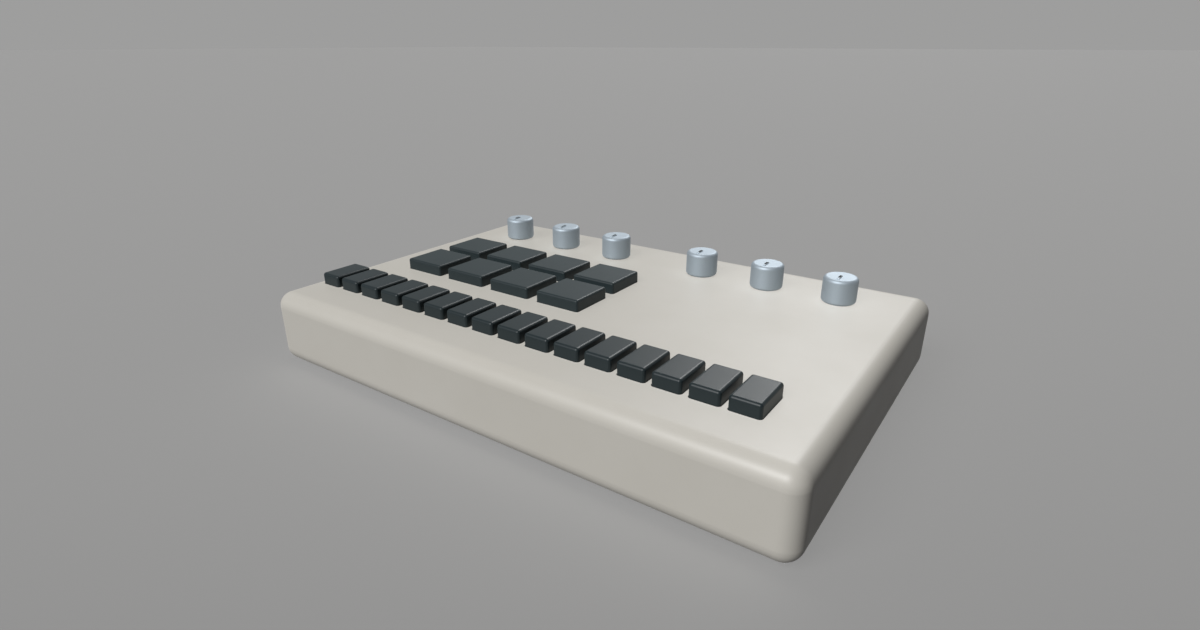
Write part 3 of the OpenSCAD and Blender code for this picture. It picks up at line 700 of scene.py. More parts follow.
class Bench:
    """Shapes one piece at a time with Blender's own operators, at its size and place in the frame."""

    SMOOTH = math.radians(35)

    @staticmethod
    def settle(name: str) -> Piece:
        """Names the active object and sets its place and size into its mesh.

        Args:
            name: The piece's name.

        Returns:
            The object.
        """
        made = bpy.context.object
        made.name = made.data.name = name
        bpy.ops.object.transform_apply(location=True, rotation=True, scale=True)
        return made

    @staticmethod
    def block(name: str, low: Vector, high: Vector) -> Piece:
        """Adds a block between two corners.

        Args:
            name: The piece's name.
            low: Its lowest corner.
            high: Its highest corner.

        Returns:
            The new object.
        """
        bpy.ops.object.select_all(action="DESELECT")
        bpy.ops.mesh.primitive_cube_add(size=1, location=(low + high) / 2, scale=high - low)
        return Bench.settle(name)

    @staticmethod
    def drum(
        name: str, radius: float, base: Vector, length: float, axis: Axis = Axis.UP, sides: int = 64
    ) -> Piece:
        """Adds a round bar.

        Args:
            name: The piece's name.
            radius: Its radius.
            base: The middle of its lower or front end.
            length: Its length.
            axis: The way it stands.
            sides: How many sides go round it.

        Returns:
            The new object.
        """
        along = Vector((0, 0, length / 2)) if axis is Axis.UP else Vector((0, length / 2, 0))
        bpy.ops.object.select_all(action="DESELECT")
        bpy.ops.mesh.primitive_cylinder_add(
            vertices=sides, radius=radius, depth=length, location=base + along, rotation=axis.value
        )
        return Bench.settle(name)

    @staticmethod
    def hold(obj: Piece) -> None:
        """Makes an object the only selected and active one.

        Args:
            obj: The object.
        """
        bpy.ops.object.select_all(action="DESELECT")
        obj.select_set(True)
        bpy.context.view_layer.objects.active = obj

    @staticmethod
    def pick(obj: Piece, what: Pick, test: Test) -> int:
        """Enters edit mode with the faces or edges that pass a test selected.

        Args:
            obj: The object.
            what: Whether faces or edges are picked.
            test: Takes a face's centre and normal, or an edge's two ends.

        Returns:
            How many were picked.
        """
        Bench.hold(obj)
        bpy.ops.object.mode_set(mode="EDIT")
        bpy.ops.mesh.select_mode(type=what.value)
        bpy.ops.mesh.select_all(action="DESELECT")
        bpy.ops.object.mode_set(mode="OBJECT")
        mesh = obj.data
        if what is Pick.FACES:
            items = mesh.polygons
            flags = [test(face.center, face.normal) for face in items]
        else:
            items = mesh.edges
            flags = [test(*(mesh.vertices[i].co for i in edge.vertices)) for edge in items]
        for item, flag in zip(items, flags):
            item.select = flag
        bpy.ops.object.mode_set(mode="EDIT")
        return sum(flags)

    @staticmethod
    def done() -> None:
        """Leaves edit mode."""
        bpy.ops.object.mode_set(mode="OBJECT")

    @staticmethod
    def push(z: float = 0.0) -> None:
        """Extrudes the picked faces along Z."""
        bpy.ops.mesh.extrude_region_move(TRANSFORM_OT_translate={"value": (0, 0, z)})

    @staticmethod
    def scale(about: Vector, x: float, y: float) -> None:
        """Resizes what is picked in X and Y about a point."""
        bpy.ops.transform.resize(value=(x, y, 1), center_override=about)

    @staticmethod
    def step(about: Vector, x: float, y: float) -> None:
        """Extrudes the picked face in its own plane and resizes it, which leaves a flat border."""
        Bench.push()
        Bench.scale(about, x, y)

    @staticmethod
    def round_off(obj: Piece, radius: float, segments: int, test: Test) -> None:
        """Rounds the edges that pass a test.

        Args:
            obj: The object.
            radius: The radius.
            segments: How many faces make the curve.
            test: Takes an edge's two ends.
        """
        if Bench.pick(obj, Pick.EDGES, test):
            bpy.ops.mesh.bevel(
                offset=radius, segments=segments, profile=0.5, affect="EDGES", clamp_overlap=True
            )
        Bench.done()

    @staticmethod
    def combine(obj: Piece, other: Piece, operation: str) -> None:
        """Joins another solid to this one or cuts it out, and removes the other.

        Args:
            obj: The object that stays.
            other: The tool solid.
            operation: UNION or DIFFERENCE.
        """
        modifier = obj.modifiers.new("combine", "BOOLEAN")
        modifier.operation = operation
        modifier.solver = "EXACT"
        modifier.object = other
        Bench.hold(obj)
        bpy.ops.object.modifier_apply(modifier=modifier.name)
        bpy.data.objects.remove(other)

    @staticmethod
    def finish(obj: Piece) -> Piece:
        """Smooths a shaped piece: soft across curves, sharp at corners, true on its flats.

        Args:
            obj: The object.

        Returns:
            The same object.
        """
        Bench.hold(obj)
        bpy.ops.object.shade_smooth_by_angle(angle=Bench.SMOOTH)
        modifier = obj.modifiers.new("true_flats", "WEIGHTED_NORMAL")
        modifier.keep_sharp = True
        bpy.ops.object.modifier_apply(modifier=modifier.name)
        return obj

    @staticmethod
    def fit(obj: Piece, body: str, slot: Slot, finish: Material, replaces: str | None) -> Piece:
        """Gives a piece its finish and its body, and hides the CAD node that it stands for.

        Args:
            obj: The piece.
            body: The body that it moves with.
            slot: The record's slot of its finish; not used.
            finish: Its material.
            replaces: The CAD node that it stands for, if any.

        Returns:
            The same piece.
        """
        obj.data.materials.clear()
        obj.data.materials.append(finish)
        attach(obj, body)
        if replaces:
            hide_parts(replaces)
        return obj

    @staticmethod
    def spread(master: Piece, copies: list[Copy], slot: Slot, finish: Material) -> list[Piece]:
        """Copies a piece to its places, each copy with a mesh of its own, and removes the master.

        Args:
            master: The finished piece.
            copies: The copies to make.
            slot: The record's slot of their finish.
            finish: Their material.

        Returns:
            The fitted copies.
        """
        pieces = []
        for copy in copies:
            Bench.hold(master)
            bpy.ops.object.duplicate(linked=False)
            bpy.context.object.location = copy.shift
            pieces.append(Bench.fit(Bench.settle(copy.name), copy.body, slot, finish, copy.node))
        bpy.data.objects.remove(master)
        return pieces


# ---- The machine's sub-assemblies ----


@dataclass
class Caps:
    """A set of alike caps that reach through the panel, each with a flange and a plunger under its roof.

    Attributes:
        piece: The start of the pieces' names.
        nodes: The CAD nodes, one for each cap and named as its body is.
        slot: The record's slot.
        finish: The material.
        flange_x: How far the flange stands out at each side.
        flange_y: How far the flange stands out at each end.
        flange_t: The flange's thickness.
        shell: The wall's thickness.
        roof: The roof's thickness.
        edge_r: The radius of the edges.
        plunger_r: The plunger's radius.
        flange_top: The height of the flange's upper face.
        plunger_edge: The radius of the plunger's lower edge.
        rib_t: The ribs' thickness.
        rib_low: The height of the ribs' lower edge.
        bite: How far plunger and ribs reach into the roof.
        segments: How many faces make the curve of an edge.
    """

    piece: str
    nodes: list[str]
    slot: Slot
    finish: Material
    flange_x: float
    flange_y: float
    flange_t: float
    shell: float
    roof: float
    edge_r: float
    plunger_r: float
    flange_top: float = 38.9 * MM
    plunger_edge: float = 0.3 * MM
    rib_t: float = 1.0 * MM
    rib_low: float = 40.0 * MM
    bite: Span = (1.0 * MM, 0.5 * MM)
    segments: int = 6

    def master(self) -> Piece:
        """Models the first cap in its place.

        Returns:
            The finished cap.
        """
        low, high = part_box(self.nodes[0])
        inner_low = Vector((low.x + self.flange_x, low.y + self.flange_y, self.flange_top))
        inner_high = Vector((high.x - self.flange_x, high.y - self.flange_y, high.z))
        width, depth = inner_high.x - inner_low.x, inner_high.y - inner_low.y
        middle = (inner_low + inner_high) / 2
        roof_z = high.z - self.roof
        cap = Bench.block(f"{self.piece}_master", inner_low, inner_high)
        Bench.round_off(cap, self.edge_r, self.segments, lambda a, b: max(a.z, b.z) > middle.z)
        flange_w, flange_d = width + 2 * self.flange_x, depth + 2 * self.flange_y
        open_w, open_d = width - 2 * self.shell, depth - 2 * self.shell
        Bench.pick(cap, Pick.FACES, looks_down)
        Bench.step(middle, flange_w / width, flange_d / depth)
        Bench.push(-self.flange_t)
        Bench.step(middle, open_w / flange_w, open_d / flange_d)
        Bench.push(roof_z - self.flange_top + self.flange_t)
        Bench.done()
        base = Vector((middle.x, middle.y, low.z))
        plunger = Bench.drum("plunger", self.plunger_r, base, roof_z - low.z + self.bite[0], sides=32)
        Bench.round_off(plunger, self.plunger_edge, 2, below(low.z + NEAR))
        Bench.combine(cap, plunger, "UNION")
        for half_w, half_d in (
            ((open_w + self.shell) / 2, self.rib_t / 2),
            (self.rib_t / 2, (open_d + self.shell) / 2),
        ):
            foot = Vector((middle.x - half_w, middle.y - half_d, self.rib_low))
            head = Vector((middle.x + half_w, middle.y + half_d, roof_z + self.bite[1]))
            Bench.combine(cap, Bench.block("rib", foot, head), "UNION")
        return Bench.finish(cap)

    def build(self) -> list[Piece]:
        """Models the first cap and copies it to the others' places.

        Returns:
            The caps.
        """
        start = middle_of(self.nodes[0])
        copies = [
            Copy(f"{self.piece}_{number:02d}", middle_of(node) - start, node, node)
            for number, node in enumerate(self.nodes, 1)
        ]
        return Bench.spread(self.master(), copies, self.slot, self.finish)


@dataclass
class SpringMat:
    """A silicone mat: a sheet with a hollow dome under each cap.

    Attributes:
        node: The CAD node that it stands for.
        piece: The start of the pieces' names.
        caps: The nodes of the caps over it, each named as its body is.
        finish: The material.
        dome_r: The domes' radius at the sheet.
        top_r: Their radius at the top.
        low_h: Their height over the sheet when they are pressed flat; not used.
        wall: Their wall's thickness.
        edge_r: The radius of their top edge.
        sheet_t: The sheet's thickness.
        corner_r: The radius of the sheet's corners.
        rim_r: The radius of the sheet's upper edges.
        lap: How deep a dome's foot reaches into the sheet.
        sides: How many sides go round a dome.
    """

    node: str
    piece: str
    caps: list[str]
    finish: Material
    dome_r: float
    top_r: float
    low_h: float = 2.3 * MM
    wall: float = 0.8 * MM
    edge_r: float = 0.4 * MM
    sheet_t: float = 1.0 * MM
    corner_r: float = 3.0 * MM
    rim_r: float = 0.2 * MM
    lap: float = 0.1 * MM
    sides: int = 48

    def under(self, cap: str, height: float) -> Vector:
        """Finds the point at a height under the middle of a cap."""
        return Vector((*middle_of(cap).xy, height))

    def sheet(self) -> Piece:
        """Models the sheet, open under each dome.

        Returns:
            The finished sheet.
        """
        low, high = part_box(self.node)
        top = low.z + self.sheet_t
        made = Bench.block(f"{self.piece}_sheet", low, Vector((high.x, high.y, top)))
        Bench.round_off(made, self.corner_r, 6, lambda a, b: abs(a.z - b.z) > self.sheet_t / 2)
        Bench.round_off(made, self.rim_r, 2, above(top - self.rim_r / 2))
        for cap in self.caps:
            start = self.under(cap, low.z - self.sheet_t)
            hole = Bench.drum("hole", self.dome_r - self.wall, start, 3 * self.sheet_t, sides=self.sides)
            Bench.combine(made, hole, "DIFFERENCE")
        return Bench.finish(made)

    def dome(self) -> Piece:
        """Models the first dome in its place.

        Returns:
            The finished dome.
        """
        low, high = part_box(self.node)
        foot = self.under(self.caps[0], low.z + self.sheet_t - self.lap)
        dome = Bench.drum(f"{self.piece}_master", self.dome_r, foot, high.z - foot.z, sides=self.sides)
        share = self.top_r / self.dome_r
        Bench.pick(dome, Pick.FACES, looks_up)
        Bench.scale(foot, share, share)
        Bench.done()
        Bench.round_off(dome, self.edge_r, 4, above(high.z - self.lap))
        Bench.pick(dome, Pick.FACES, looks_down)
        bpy.ops.mesh.inset(thickness=self.wall)
        share = (self.top_r - self.wall) / (self.dome_r - self.wall)
        Bench.push(high.z - self.wall - foot.z)
        Bench.scale(foot, share, share)
        Bench.done()
        return Bench.finish(dome)

    def build(self) -> list[Piece]:
        """Models the sheet and one dome, and copies the dome to its places.

        Returns:
            The sheet and the domes.
        """
        sheet = Bench.fit(self.sheet(), CHASSIS, Slot.SILICONE, self.finish, self.node)
        copies = numbered(self.piece + "_dome_{:02d}", [self.under(cap, 0) for cap in self.caps], self.node)
        domes = Bench.spread(self.dome(), copies, Slot.SILICONE, self.finish)
        for made, cap in zip(domes, self.caps):
            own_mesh(made)
        return [sheet, *domes]


@dataclass
class Knobs:
    """The six knobs: a hollow body with a hub and a raised pointer, and a dark line on the pointer.

    Attributes:
        body_finish: The material of the bodies.
        line_finish: The material of the lines.
        radius: The body's radius.
        edge_r: The radius of its top edge.
        rim_r: The radius of its bottom edge.
        skirt: The wall's thickness.
        roof: The roof's thickness.
        hub_lift: How far the hub's lower end lies above the body's.
        hub_r: The hub's radius.
        bore_r: The radius of the shaft's hole.
        sides: How many sides go round it.
        pointer_w: The pointer's width.
        pointer_l: The pointer's length.
        pointer_h: The pointer's height.
        pointer_start: Its distance from the knob's middle.
        pointer_edge: The radius of its upper edges.
        root: How far the pointer and its line reach down into the knob.
        line_w: The width of the dark line on the pointer.
        line_l: The line's length.
        line_h: The line's height.
        line_edge: The radius of its upper edges.
    """

    body_finish: Material
    line_finish: Material
    radius: float = 9.0 * MM
    edge_r: float = 1.9 * MM
    rim_r: float = 1.75 * MM
    skirt: float = 1.8 * MM
    roof: float = 2.2 * MM
    hub_lift: float = 3.7 * MM
    hub_r: float = 4.8 * MM
    bore_r: float = 3.03 * MM
    sides: int = 96
    pointer_w: float = 1.6 * MM
    pointer_l: float = 6.0 * MM
    pointer_h: float = 0.6 * MM
    pointer_start: float = 0.6 * MM
    pointer_edge: float = 0.2 * MM
    root: float = 1.4 * MM
    line_w: float = 1.25 * MM
    line_l: float = 4.0 * MM
    line_h: float = 0.06 * MM
    line_edge: float = 0.04 * MM

    def body(self) -> Piece:
        """Models the first knob's body in its place.

        Returns:
            The finished body.
        """
        low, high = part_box(KNOBS[0])
        middle = (low + high) / 2
        top = high.z - self.pointer_h
        inside = low.z + self.hub_lift
        depth = top - self.roof - inside
        base = Vector((middle.x, middle.y, low.z))

        def roof(centre: Vector, normal: Vector) -> bool:
            """Tests for faces that look down from the hub's level."""
            return looks_down(centre, normal) and abs(centre.z - inside) < NEAR

        knob = Bench.drum("knob_master", self.radius, base, top - low.z, sides=self.sides)
        Bench.round_off(knob, self.edge_r, 8, above(middle.z))
        Bench.round_off(knob, self.rim_r, 6, below(low.z + NEAR))
        Bench.pick(knob, Pick.FACES, lambda c, n: looks_down(c, n) and c.z < low.z + TOUCHING)
        bpy.ops.mesh.inset(thickness=self.skirt - self.rim_r)
        Bench.push(self.hub_lift)
        Bench.done()
        Bench.pick(knob, Pick.FACES, roof)
        bpy.ops.mesh.inset(thickness=self.radius - self.skirt - self.hub_r)
        bpy.ops.mesh.inset(thickness=self.hub_r - self.bore_r)
        Bench.push(depth)
        Bench.done()
        Bench.pick(knob, Pick.FACES, lambda c, n: roof(c, n) and (c - base).xy.length > self.hub_r + NEAR)
        Bench.push(depth)
        Bench.done()
        size = Vector((self.pointer_w, self.pointer_l, self.root - self.line_h))
        Bench.combine(knob, self.bar("ridge", size, high.z - self.line_h, self.pointer_edge), "UNION")
        return Bench.finish(knob)

    def bar(self, name: str, size: Vector, top: float, edge: float) -> Piece:
        """Models a bar on the first knob that runs from its middle to the front.

        Args:
            name: The bar's name.
            size: Its size.
            top: The height of its upper face.
            edge: The radius of its upper edges.

        Returns:
            The bar.
        """
        middle = middle_of(KNOBS[0])
        start = middle.y - self.pointer_start
        front = Vector((middle.x - size.x / 2, start - size.y, top - size.z))
        bar = Bench.block(name, front, Vector((middle.x + size.x / 2, start, top)))
        Bench.round_off(bar, edge, 3, above(top - edge))
        return bar

    def line(self) -> Piece:
        """Models the dark line on the first knob's pointer."""
        size = Vector((self.line_w, self.line_l, self.root))
        return Bench.finish(self.bar("line_master", size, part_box(KNOBS[0])[1].z, self.line_edge))

    def build(self) -> list[Piece]:
        """Models the first knob and copies it to the others' places.

        Returns:
            The bodies and the lines.
        """
        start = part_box(KNOBS[0])[0]
        shifts = {node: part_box(node)[0] - start for node in KNOBS}
        bodies = [Copy(node.replace("_", "_body_"), shift, node, node) for node, shift in shifts.items()]
        lines = [Copy(node.replace("_", "_pointer_"), shift, node) for node, shift in shifts.items()]
        return Bench.spread(self.body(), bodies, Slot.KNOB, self.body_finish) + Bench.spread(
            self.line(), lines, Slot.POINTER, self.line_finish
        )


@dataclass
class Underside:
    """The cover's screws and rubber feet.

    Attributes:
        screw_finish: The screws' material.
        foot_finish: The feet's material.
        foot_x: The feet's distance from the middle along X.
        foot_y: The feet's distance from the middle along Y.
        foot_r: The feet's radius.
        foot_h: The feet's height.
        foot_edge: The radius of a foot's lower edge.
        foot_rim: The width of its rim.
        foot_recess: The depth of the groove inside the rim.
        foot_groove: The width of the groove.
        foot_button: The height of the button inside the groove.
        foot_lip: The radius of the groove's edges.
        screws_x: The screws' places along X.
        screws_y: The screws' places along Y.
        head_low: The height of the head's lower face.
        head_r: The screw head's radius.
        head_h: The screw head's height.
        head_edge: The radius of its lower edge.
        shank_r: The shank's radius.
        shank_l: The shank's length.
        turns: How many ridges the thread has.
        waist: The thread's core as a share of its radius.
        tip: The shank's end as a share of its radius.
        cross: Half the length and half the width of an arm of the cross recess.
        cross_h: The recess's depth.
        cross_taper: The size of the recess's floor as a share of its mouth.
    """

    screw_finish: Material
    foot_finish: Material
    foot_x: float = 119.0 * MM
    foot_y: float = 69.0 * MM
    foot_r: float = 6.0 * MM
    foot_h: float = 2.85 * MM
    foot_edge: float = 0.5 * MM
    foot_rim: float = 1.2 * MM
    foot_recess: float = 0.5 * MM
    foot_groove: float = 1.4 * MM
    foot_button: float = 0.4 * MM
    foot_lip: float = 0.12 * MM
    screws_x: tuple[float, ...] = (-134.5 * MM, -45.0 * MM, 45.0 * MM, 134.5 * MM)
    screws_y: tuple[float, ...] = (-84.5 * MM, 84.5 * MM)
    head_low: float = 2.0 * MM
    head_r: float = 2.8 * MM
    head_h: float = 1.5 * MM
    head_edge: float = 0.35 * MM
    shank_r: float = 1.5 * MM
    shank_l: float = 12.0 * MM
    turns: int = 10
    waist: float = 0.82
    tip: float = 0.3
    cross: Span = (1.5 * MM, 0.3 * MM)
    cross_h: float = 0.9 * MM
    cross_taper: float = 0.55

    def foot(self) -> Piece:
        """Models the first foot in its place.

        Returns:
            The finished foot.
        """
        base = Vector((-self.foot_x, -self.foot_y, 0))
        foot = Bench.drum("foot_master", self.foot_r, base, self.foot_h)
        Bench.round_off(foot, self.foot_edge, 4, below(NEAR))
        Bench.pick(foot, Pick.FACES, looks_down)
        bpy.ops.mesh.inset(thickness=self.foot_rim)
        Bench.push(self.foot_recess)
        bpy.ops.mesh.inset(thickness=self.foot_groove)
        Bench.push(-self.foot_button)
        Bench.done()
        low, ring = below(self.foot_recess - self.foot_button + NEAR / 2), around(base)
        inner = self.foot_r - self.foot_edge - NEAR
        Bench.round_off(
            foot, self.foot_lip, 2, lambda a, b: low(a, b) and ring(a, b) and (a - base).xy.length < inner
        )
        return Bench.finish(foot)

    def screw(self) -> Piece:
        """Models the first cover screw in its place, with a cross recess and a threaded shank.

        Returns:
            The finished screw.
        """
        base = Vector((self.screws_x[0], self.screws_y[0], self.head_low))
        screw = Bench.drum("screw_master", self.head_r, base, self.head_h, sides=48)
        Bench.round_off(screw, self.head_edge, 4, below(base.z + NEAR))
        Bench.pick(screw, Pick.FACES, looks_up)
        bpy.ops.mesh.inset(thickness=self.head_r - self.shank_r)
        pitch = self.shank_l / (self.turns + 1)
        for _ in range(self.turns):
            for share in (self.waist, 1 / self.waist):
                Bench.push(pitch / 2)
                Bench.scale(base, share, share)
        Bench.push(pitch)
        Bench.scale(base, self.tip, self.tip)
        Bench.done()
        arm, slot = self.cross
        for half in (Vector((arm, slot, 0)), Vector((slot, arm, 0))):
            floor = Vector((0, 0, self.cross_h))
            cutter = Bench.block("recess", base - half - Vector((0, 0, MM)), base + half + floor)
            Bench.pick(cutter, Pick.FACES, looks_up)
            Bench.scale(base, self.cross_taper, self.cross_taper)
            Bench.done()
            Bench.combine(screw, cutter, "DIFFERENCE")
        return Bench.finish(screw)

    def build(self) -> list[Piece]:
        """Models one foot and one screw and copies them to their places.

        Returns:
            The feet and the screws.
        """
        feet_x, feet_y = (-self.foot_x, self.foot_x), (-self.foot_y, self.foot_y)
        corners = [Vector((x, y, 0)) for x in feet_x for y in feet_y]
        holes = [Vector((x, y, 0)) for x in self.screws_x for y in self.screws_y]
        feet = numbered("rubber_foot_{}", corners, "rubber_feet")
        screws = numbered("cover_screw_{}", holes, "cover_screws")
        return Bench.spread(self.foot(), feet, Slot.FOOT, self.foot_finish) + Bench.spread(
            self.screw(), screws, Slot.COVER_SCREW, self.screw_finish
        )


@dataclass
class RearFittings:
    """The metal of the rear connectors: jack collars, shields, contacts and the power pin.

    Attributes:
        plated: The material of collars and shields.
        contact: The material of contacts.
        face_y: Where the sockets' front faces lie.
        collar_y: Where the collars' rear ends lie.
        axis_z: The connectors' height.
        lip: The radius of a tube's rear edges as a share of its wall.
        jacks: The jacks' places along X.
        collar: The collars' inner and outer radius.
        dins: The round data sockets' places along X.
        shield: The shields' inner and outer radius.
        shield_out: How far the shields stand out of the face.
        sunk: How deep shields and contacts reach into the sockets.
        pins: The angles of the contacts, from straight down.
        pin_circle: The radius of the circle that the contacts lie on.
        pin: The contacts' inner and outer radius.
        pin_in: How far the contacts' ends stay behind the face.
        power_x: The power socket's place along X.
        power_pin_r: The power pin's radius.
        power_pin_edge: The radius of its end's edge.
        power_pin_y: Where the power pin starts and ends, measured from the face.
    """

    plated: Material
    contact: Material
    face_y: float = 96.7 * MM
    collar_y: float = 99.6 * MM
    axis_z: float = 22.0 * MM
    lip: float = 0.35
    jacks: tuple[float, ...] = (-116.0 * MM, -92.0 * MM, -68.0 * MM)
    collar: Span = (3.3 * MM, 4.6 * MM)
    dins: tuple[float, ...] = (-16.0 * MM, 16.0 * MM)
    shield: Span = (6.35 * MM, 6.8 * MM)
    shield_out: float = 0.1 * MM
    sunk: float = 8.8 * MM
    pins: tuple[float, ...] = (-90.0, -45.0, 0.0, 45.0, 90.0)
    pin_circle: float = 3.6 * MM
    pin: Span = (0.5 * MM, 0.82 * MM)
    pin_in: float = 0.4 * MM
    power_x: float = 84.0 * MM
    power_pin_r: float = 1.05 * MM
    power_pin_edge: float = 0.5 * MM
    power_pin_y: Span = (-9.0 * MM, -0.8 * MM)

    def tube(self, name: str, radii: Span, at: Vector, span: Span, sides: int = 64) -> Piece:
        """Models a short tube that lies along Y, with a rounded rear lip.

        Args:
            name: The piece's name.
            radii: Its inner and outer radius.
            at: A point on its axis.
            span: Where it starts and ends along Y.
            sides: How many sides go round it.

        Returns:
            The finished tube.
        """
        inner, outer = radii
        front, back = span
        tube = Bench.drum(name, outer, Vector((at.x, front, at.z)), back - front, Axis.REAR, sides)
        Bench.pick(tube, Pick.FACES, lambda c, n: abs(n.y) > FACING)
        bpy.ops.mesh.inset(thickness=outer - inner)
        bpy.ops.mesh.bridge_edge_loops()
        Bench.done()
        ring = around(Vector((at.x, back, at.z)))
        lip = (outer - inner) * self.lip
        Bench.round_off(tube, lip, 3, lambda a, b: min(a.y, b.y) > back - TOUCHING and ring(a, b))
        return Bench.finish(tube)

    def round_socket(self, x: float, turn: float) -> Vector:
        """Finds a contact's place.

        Args:
            x: The socket's place along X.
            turn: The contact's angle, from straight down.

        Returns:
            A point on the contact's axis.
        """
        angle = math.radians(turn)
        return Vector(
            (x + self.pin_circle * math.sin(angle), 0, self.axis_z - self.pin_circle * math.cos(angle))
        )

    def power_pin(self) -> Piece:
        """Models the power pin.

        Returns:
            The fitted pin.
        """
        front, back = (self.face_y + y for y in self.power_pin_y)
        base = Vector((self.power_x, front, self.axis_z))
        pin = Bench.drum("power_pin", self.power_pin_r, base, back - front, Axis.REAR, 32)
        Bench.round_off(pin, self.power_pin_edge, 5, lambda a, b: min(a.y, b.y) > back - NEAR)
        return Bench.fit(Bench.finish(pin), CHASSIS, Slot.CONTACT, self.contact, None)

    def build(self) -> list[Piece]:
        """Models each kind of fitting once and copies it to its places.

        Returns:
            The collars, shields, contacts and the pin.
        """
        jacks, dins = ([Vector((x, 0, self.axis_z)) for x in row] for row in (self.jacks, self.dins))
        first = self.round_socket(self.dins[0], self.pins[0])
        deep = self.face_y - self.sunk
        collar = self.tube("collar_master", self.collar, jacks[0], (self.face_y, self.collar_y))
        shield = self.tube("shield_master", self.shield, dins[0], (deep, self.face_y + self.shield_out))
        contact = self.tube("contact_master", self.pin, first, (deep, self.face_y - self.pin_in), 20)
        contacts = [
            Copy(f"data_contact_{number}_{place}", self.round_socket(x, turn) - first)
            for number, x in enumerate(self.dins, 1)
            for place, turn in enumerate(self.pins, 1)
        ]
        return [
            *Bench.spread(collar, numbered("jack_collar_{}", jacks), Slot.COLLAR, self.plated),
            *Bench.spread(shield, numbered("data_shield_{}", dins), Slot.COLLAR, self.plated),
            *Bench.spread(contact, contacts, Slot.CONTACT, self.contact),
            self.power_pin(),
        ]


@dataclass
class FrameParts:
    """The CAD nodes, which keep their shapes and get their finishes.

    Attributes:
        finishes: The materials by name.
        USES: The nodes that take each finish.
    """

    finishes: dict[str, Material]
    USES: ClassVar[dict[str, list[str]]] = {
        "case": ["top_case"],
        "cover": ["bottom_cover"],
        "silicone": ["key_dome_mat", "pad_spring_mat"],
        "film": ["pad_sensor_sheet"],
        "board": ["control_board", "main_board"],
        "screw": ["board_screws", "standoff_screws"],
        "cover_screw": ["cover_screws"],
        "foot": ["rubber_feet"],
        "brass": ["board_standoffs"],
        "ribbon": ["ribbon_cable"],
        "pot": ["pot_bodies"],
        "nut": ["pot_nuts", "pot_washers"],
        "shaft": [f"pot_shaft_{n}" for n in range(1, 7)],
        "key": KEYS,
        "pad": PADS,
        "knob": KNOBS,
        "connector": [
            *("headphone_jack", "output_jack_left", "output_jack_right"),
            *("midi_in_socket", "midi_out_socket"),
            *("power_socket", "power_switch_body"),
        ],
        "switch": ["power_switch_slider"],
    }

    def build(self) -> list[Piece]:
        """Puts each finish on its CAD nodes.

        Returns:
            The nodes' objects.
        """
        nodes: dict[str, Piece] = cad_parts
        finishes = {name: self.finishes[finish] for finish, names in self.USES.items() for name in names}
        if set(nodes) - set(finishes):
            raise ValueError(f"no finish for {sorted(set(nodes) - set(finishes))}")
        for name, finish in finishes.items():
            for slot in nodes[name].material_slots:
                slot.material = finish
        return [nodes[name] for name in finishes]


# ---- The studio ----


@dataclass(frozen=True)
class Lamp:
    """One far soft lamp.

    Attributes:
        name: Its name.
        towards: The direction from the object to the lamp.
        strength: Its strength.
        spread: Its apparent width in degrees.
        shadow: Whether it casts a shadow.
    """

    name: str
    towards: Colour
    strength: float
    spread: float
    shadow: bool = True

    def hang(self) -> bpy.types.Object:
        """Puts the lamp in the scene.

        Returns:
            The lamp.
        """
        data = bpy.data.lights.new(self.name, "SUN")
        data.energy = self.strength
        data.angle = math.radians(self.spread)
        data.use_shadow = self.shadow
        lamp = bpy.data.objects.new(self.name, data)
        lamp.rotation_euler = Vector(self.towards).to_track_quat("Z", "Y").to_euler()
        bpy.context.scene.collection.objects.link(lamp)
        return lamp


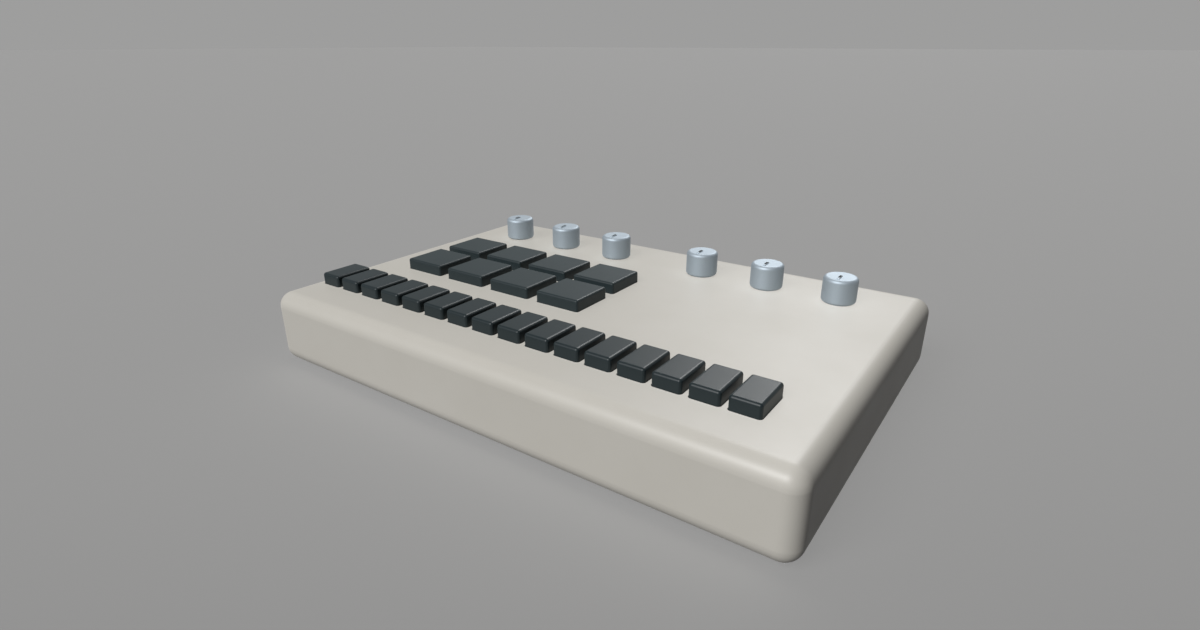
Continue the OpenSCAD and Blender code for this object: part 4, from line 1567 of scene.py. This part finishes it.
@dataclass
class Studio:
    """The floor, the lamps, the surrounding light and the camera.

    Attributes:
        floor_size: The floor's width.
        floor_near: The floor's colour at the camera's feet.
        floor_far: The floor's colour at the horizon.
        floor_bounce: The colour with which the floor lights the machine.
        floor_blend: How far in front of the camera the near colour starts to give way to the far one.
        backdrop: The tone behind the floor's far edge.
        fill: The strength of the surrounding light.
        lamps: The lamps.
        camera_at: Where the camera stands.
        camera_turn: Its turn in degrees.
        lens: Its focal length in millimetres.
        sensor: Its sensor's width in millimetres.
        clip: The nearest and farthest distance that it sees.
    """

    floor_size: float = 40.0
    floor_near: Colour = (0.338, 0.336, 0.334)
    floor_far: Colour = (0.396, 0.394, 0.391)
    floor_bounce: Colour = (0.045, 0.045, 0.045)
    floor_blend: float = 0.16
    backdrop: Colour = (0.342, 0.341, 0.339)
    fill: float = 0.006
    lamps: tuple[Lamp, ...] = (
        Lamp("key_lamp", (-0.150, -0.770, 0.612), 0.57, 40.0),
        Lamp("key_fill", (-0.150, -0.770, 0.612), 2.33, 14.0, shadow=False),
        Lamp("rear_lamp", (-0.166, 0.740, 0.652), 1.36, 22.0, shadow=False),
    )
    camera_at: Colour = (0.19736, -0.28248, 0.16973)
    camera_turn: Colour = (67.95, 0.0, 34.93)
    lens: float = 20.23
    sensor: float = 36.0
    clip: Span = (0.01, 100.0)

    def floor(self) -> Piece:
        """Lays the floor, whose tone changes with the distance from the camera.

        Returns:
            The floor.
        """
        bpy.ops.object.select_all(action="DESELECT")
        bpy.ops.mesh.primitive_plane_add(size=self.floor_size)
        floor = bpy.context.object
        floor.name = "studio_floor"
        paint = Paint("floor_paper", Roughness=0.95, Specular_IOR_Level=0.1)
        turn = math.radians(self.camera_turn[2])
        ahead = Vector((-math.sin(turn), math.cos(turn), 0.0))
        start = ahead.dot(Vector(self.camera_at))
        distance = paint.compute("SUBTRACT", paint.dot(paint.place(), ahead), start)
        farther = paint.compute("MAXIMUM", distance, self.floor_blend)
        nearness = paint.compute("DIVIDE", self.floor_blend, farther)
        shown = paint.blend(nearness, self.floor_far, self.floor_near)
        paint.fill(paint.shader, {"Base_Color": paint.blend(paint.seen(), self.floor_bounce, shown)})
        floor.data.materials.append(paint.material)
        return floor

    def surroundings(self) -> None:
        """Sets the light that comes from all round, and the tone that the camera sees behind the floor."""
        world = bpy.data.worlds.new("studio_air")
        bpy.context.scene.world = world
        world.use_nodes = True
        world.node_tree.nodes.clear()
        sheet = Sheet(world.node_tree)
        light = sheet.add("ShaderNodeBackground", Color=(1.0, 1.0, 1.0, 1.0), Strength=self.fill)
        tone = sheet.add("ShaderNodeBackground", Color=(*self.backdrop, 1.0), Strength=1.0)
        mix = sheet.add("ShaderNodeMixShader")
        for number, socket in enumerate((sheet.seen(), light.outputs[0], tone.outputs[0])):
            sheet.feed(mix.inputs[number], socket)
        sheet.add("ShaderNodeOutputWorld", Surface=mix.outputs[0])

    def camera(self) -> bpy.types.Object:
        """Sets up the camera.

        Returns:
            The camera.
        """
        data = bpy.data.cameras.new("studio_camera")
        data.sensor_width = self.sensor
        data.sensor_fit = "HORIZONTAL"
        data.lens = self.lens
        data.clip_start, data.clip_end = self.clip
        camera = bpy.data.objects.new("studio_camera", data)
        camera.location = self.camera_at
        camera.rotation_euler = tuple(math.radians(a) for a in self.camera_turn)
        bpy.context.scene.collection.objects.link(camera)
        bpy.context.scene.camera = camera
        return camera

    def build(self) -> list[bpy.types.Object]:
        """Sets the whole studio up.

        Returns:
            The floor, the lamps and the camera.
        """
        self.surroundings()
        bpy.context.scene.view_settings.view_transform = "Standard"
        return [self.floor(), *(lamp.hang() for lamp in self.lamps), self.camera()]


def main() -> None:
    """Builds every sub-assembly, then the studio, and reports each piece."""
    logging.basicConfig(level=logging.INFO, format="%(name)s: %(message)s")
    paints = {name: finish.material() for name, finish in vars(Paintbox()).items()}
    silicone = paints["silicone"]
    for assembly in (
        FrameParts(paints),
        Caps(
            "step_key_cap", KEYS, Slot.KEY, paints["key"], flange_x=1.05 * MM, flange_y=2.0 * MM,
            flange_t=1.2 * MM, shell=1.3 * MM, roof=1.8 * MM, edge_r=1.5 * MM, plunger_r=2.5 * MM,
        ),
        Caps(
            "pad_cap", PADS, Slot.PAD, paints["pad"], flange_x=1.6 * MM, flange_y=1.6 * MM,
            flange_t=1.4 * MM, shell=2.0 * MM, roof=2.5 * MM, edge_r=1.3 * MM, plunger_r=6.0 * MM,
        ),
        SpringMat("key_dome_mat", "key_mat", KEYS, silicone, dome_r=4.6 * MM, top_r=3.0 * MM),
        SpringMat("pad_spring_mat", "pad_mat", PADS, silicone, dome_r=9.0 * MM, top_r=7.0 * MM),
        Knobs(paints["knob"], paints["pointer"]),
        Underside(paints["cover_screw"], paints["foot"]),
        RearFittings(paints["nut"], paints["shaft"]),
        Studio(),
    ):
        for piece in assembly.build():
            LOG.info("%s: %s", type(assembly).__name__, piece.name)


if __name__ == "__main__":
    main()
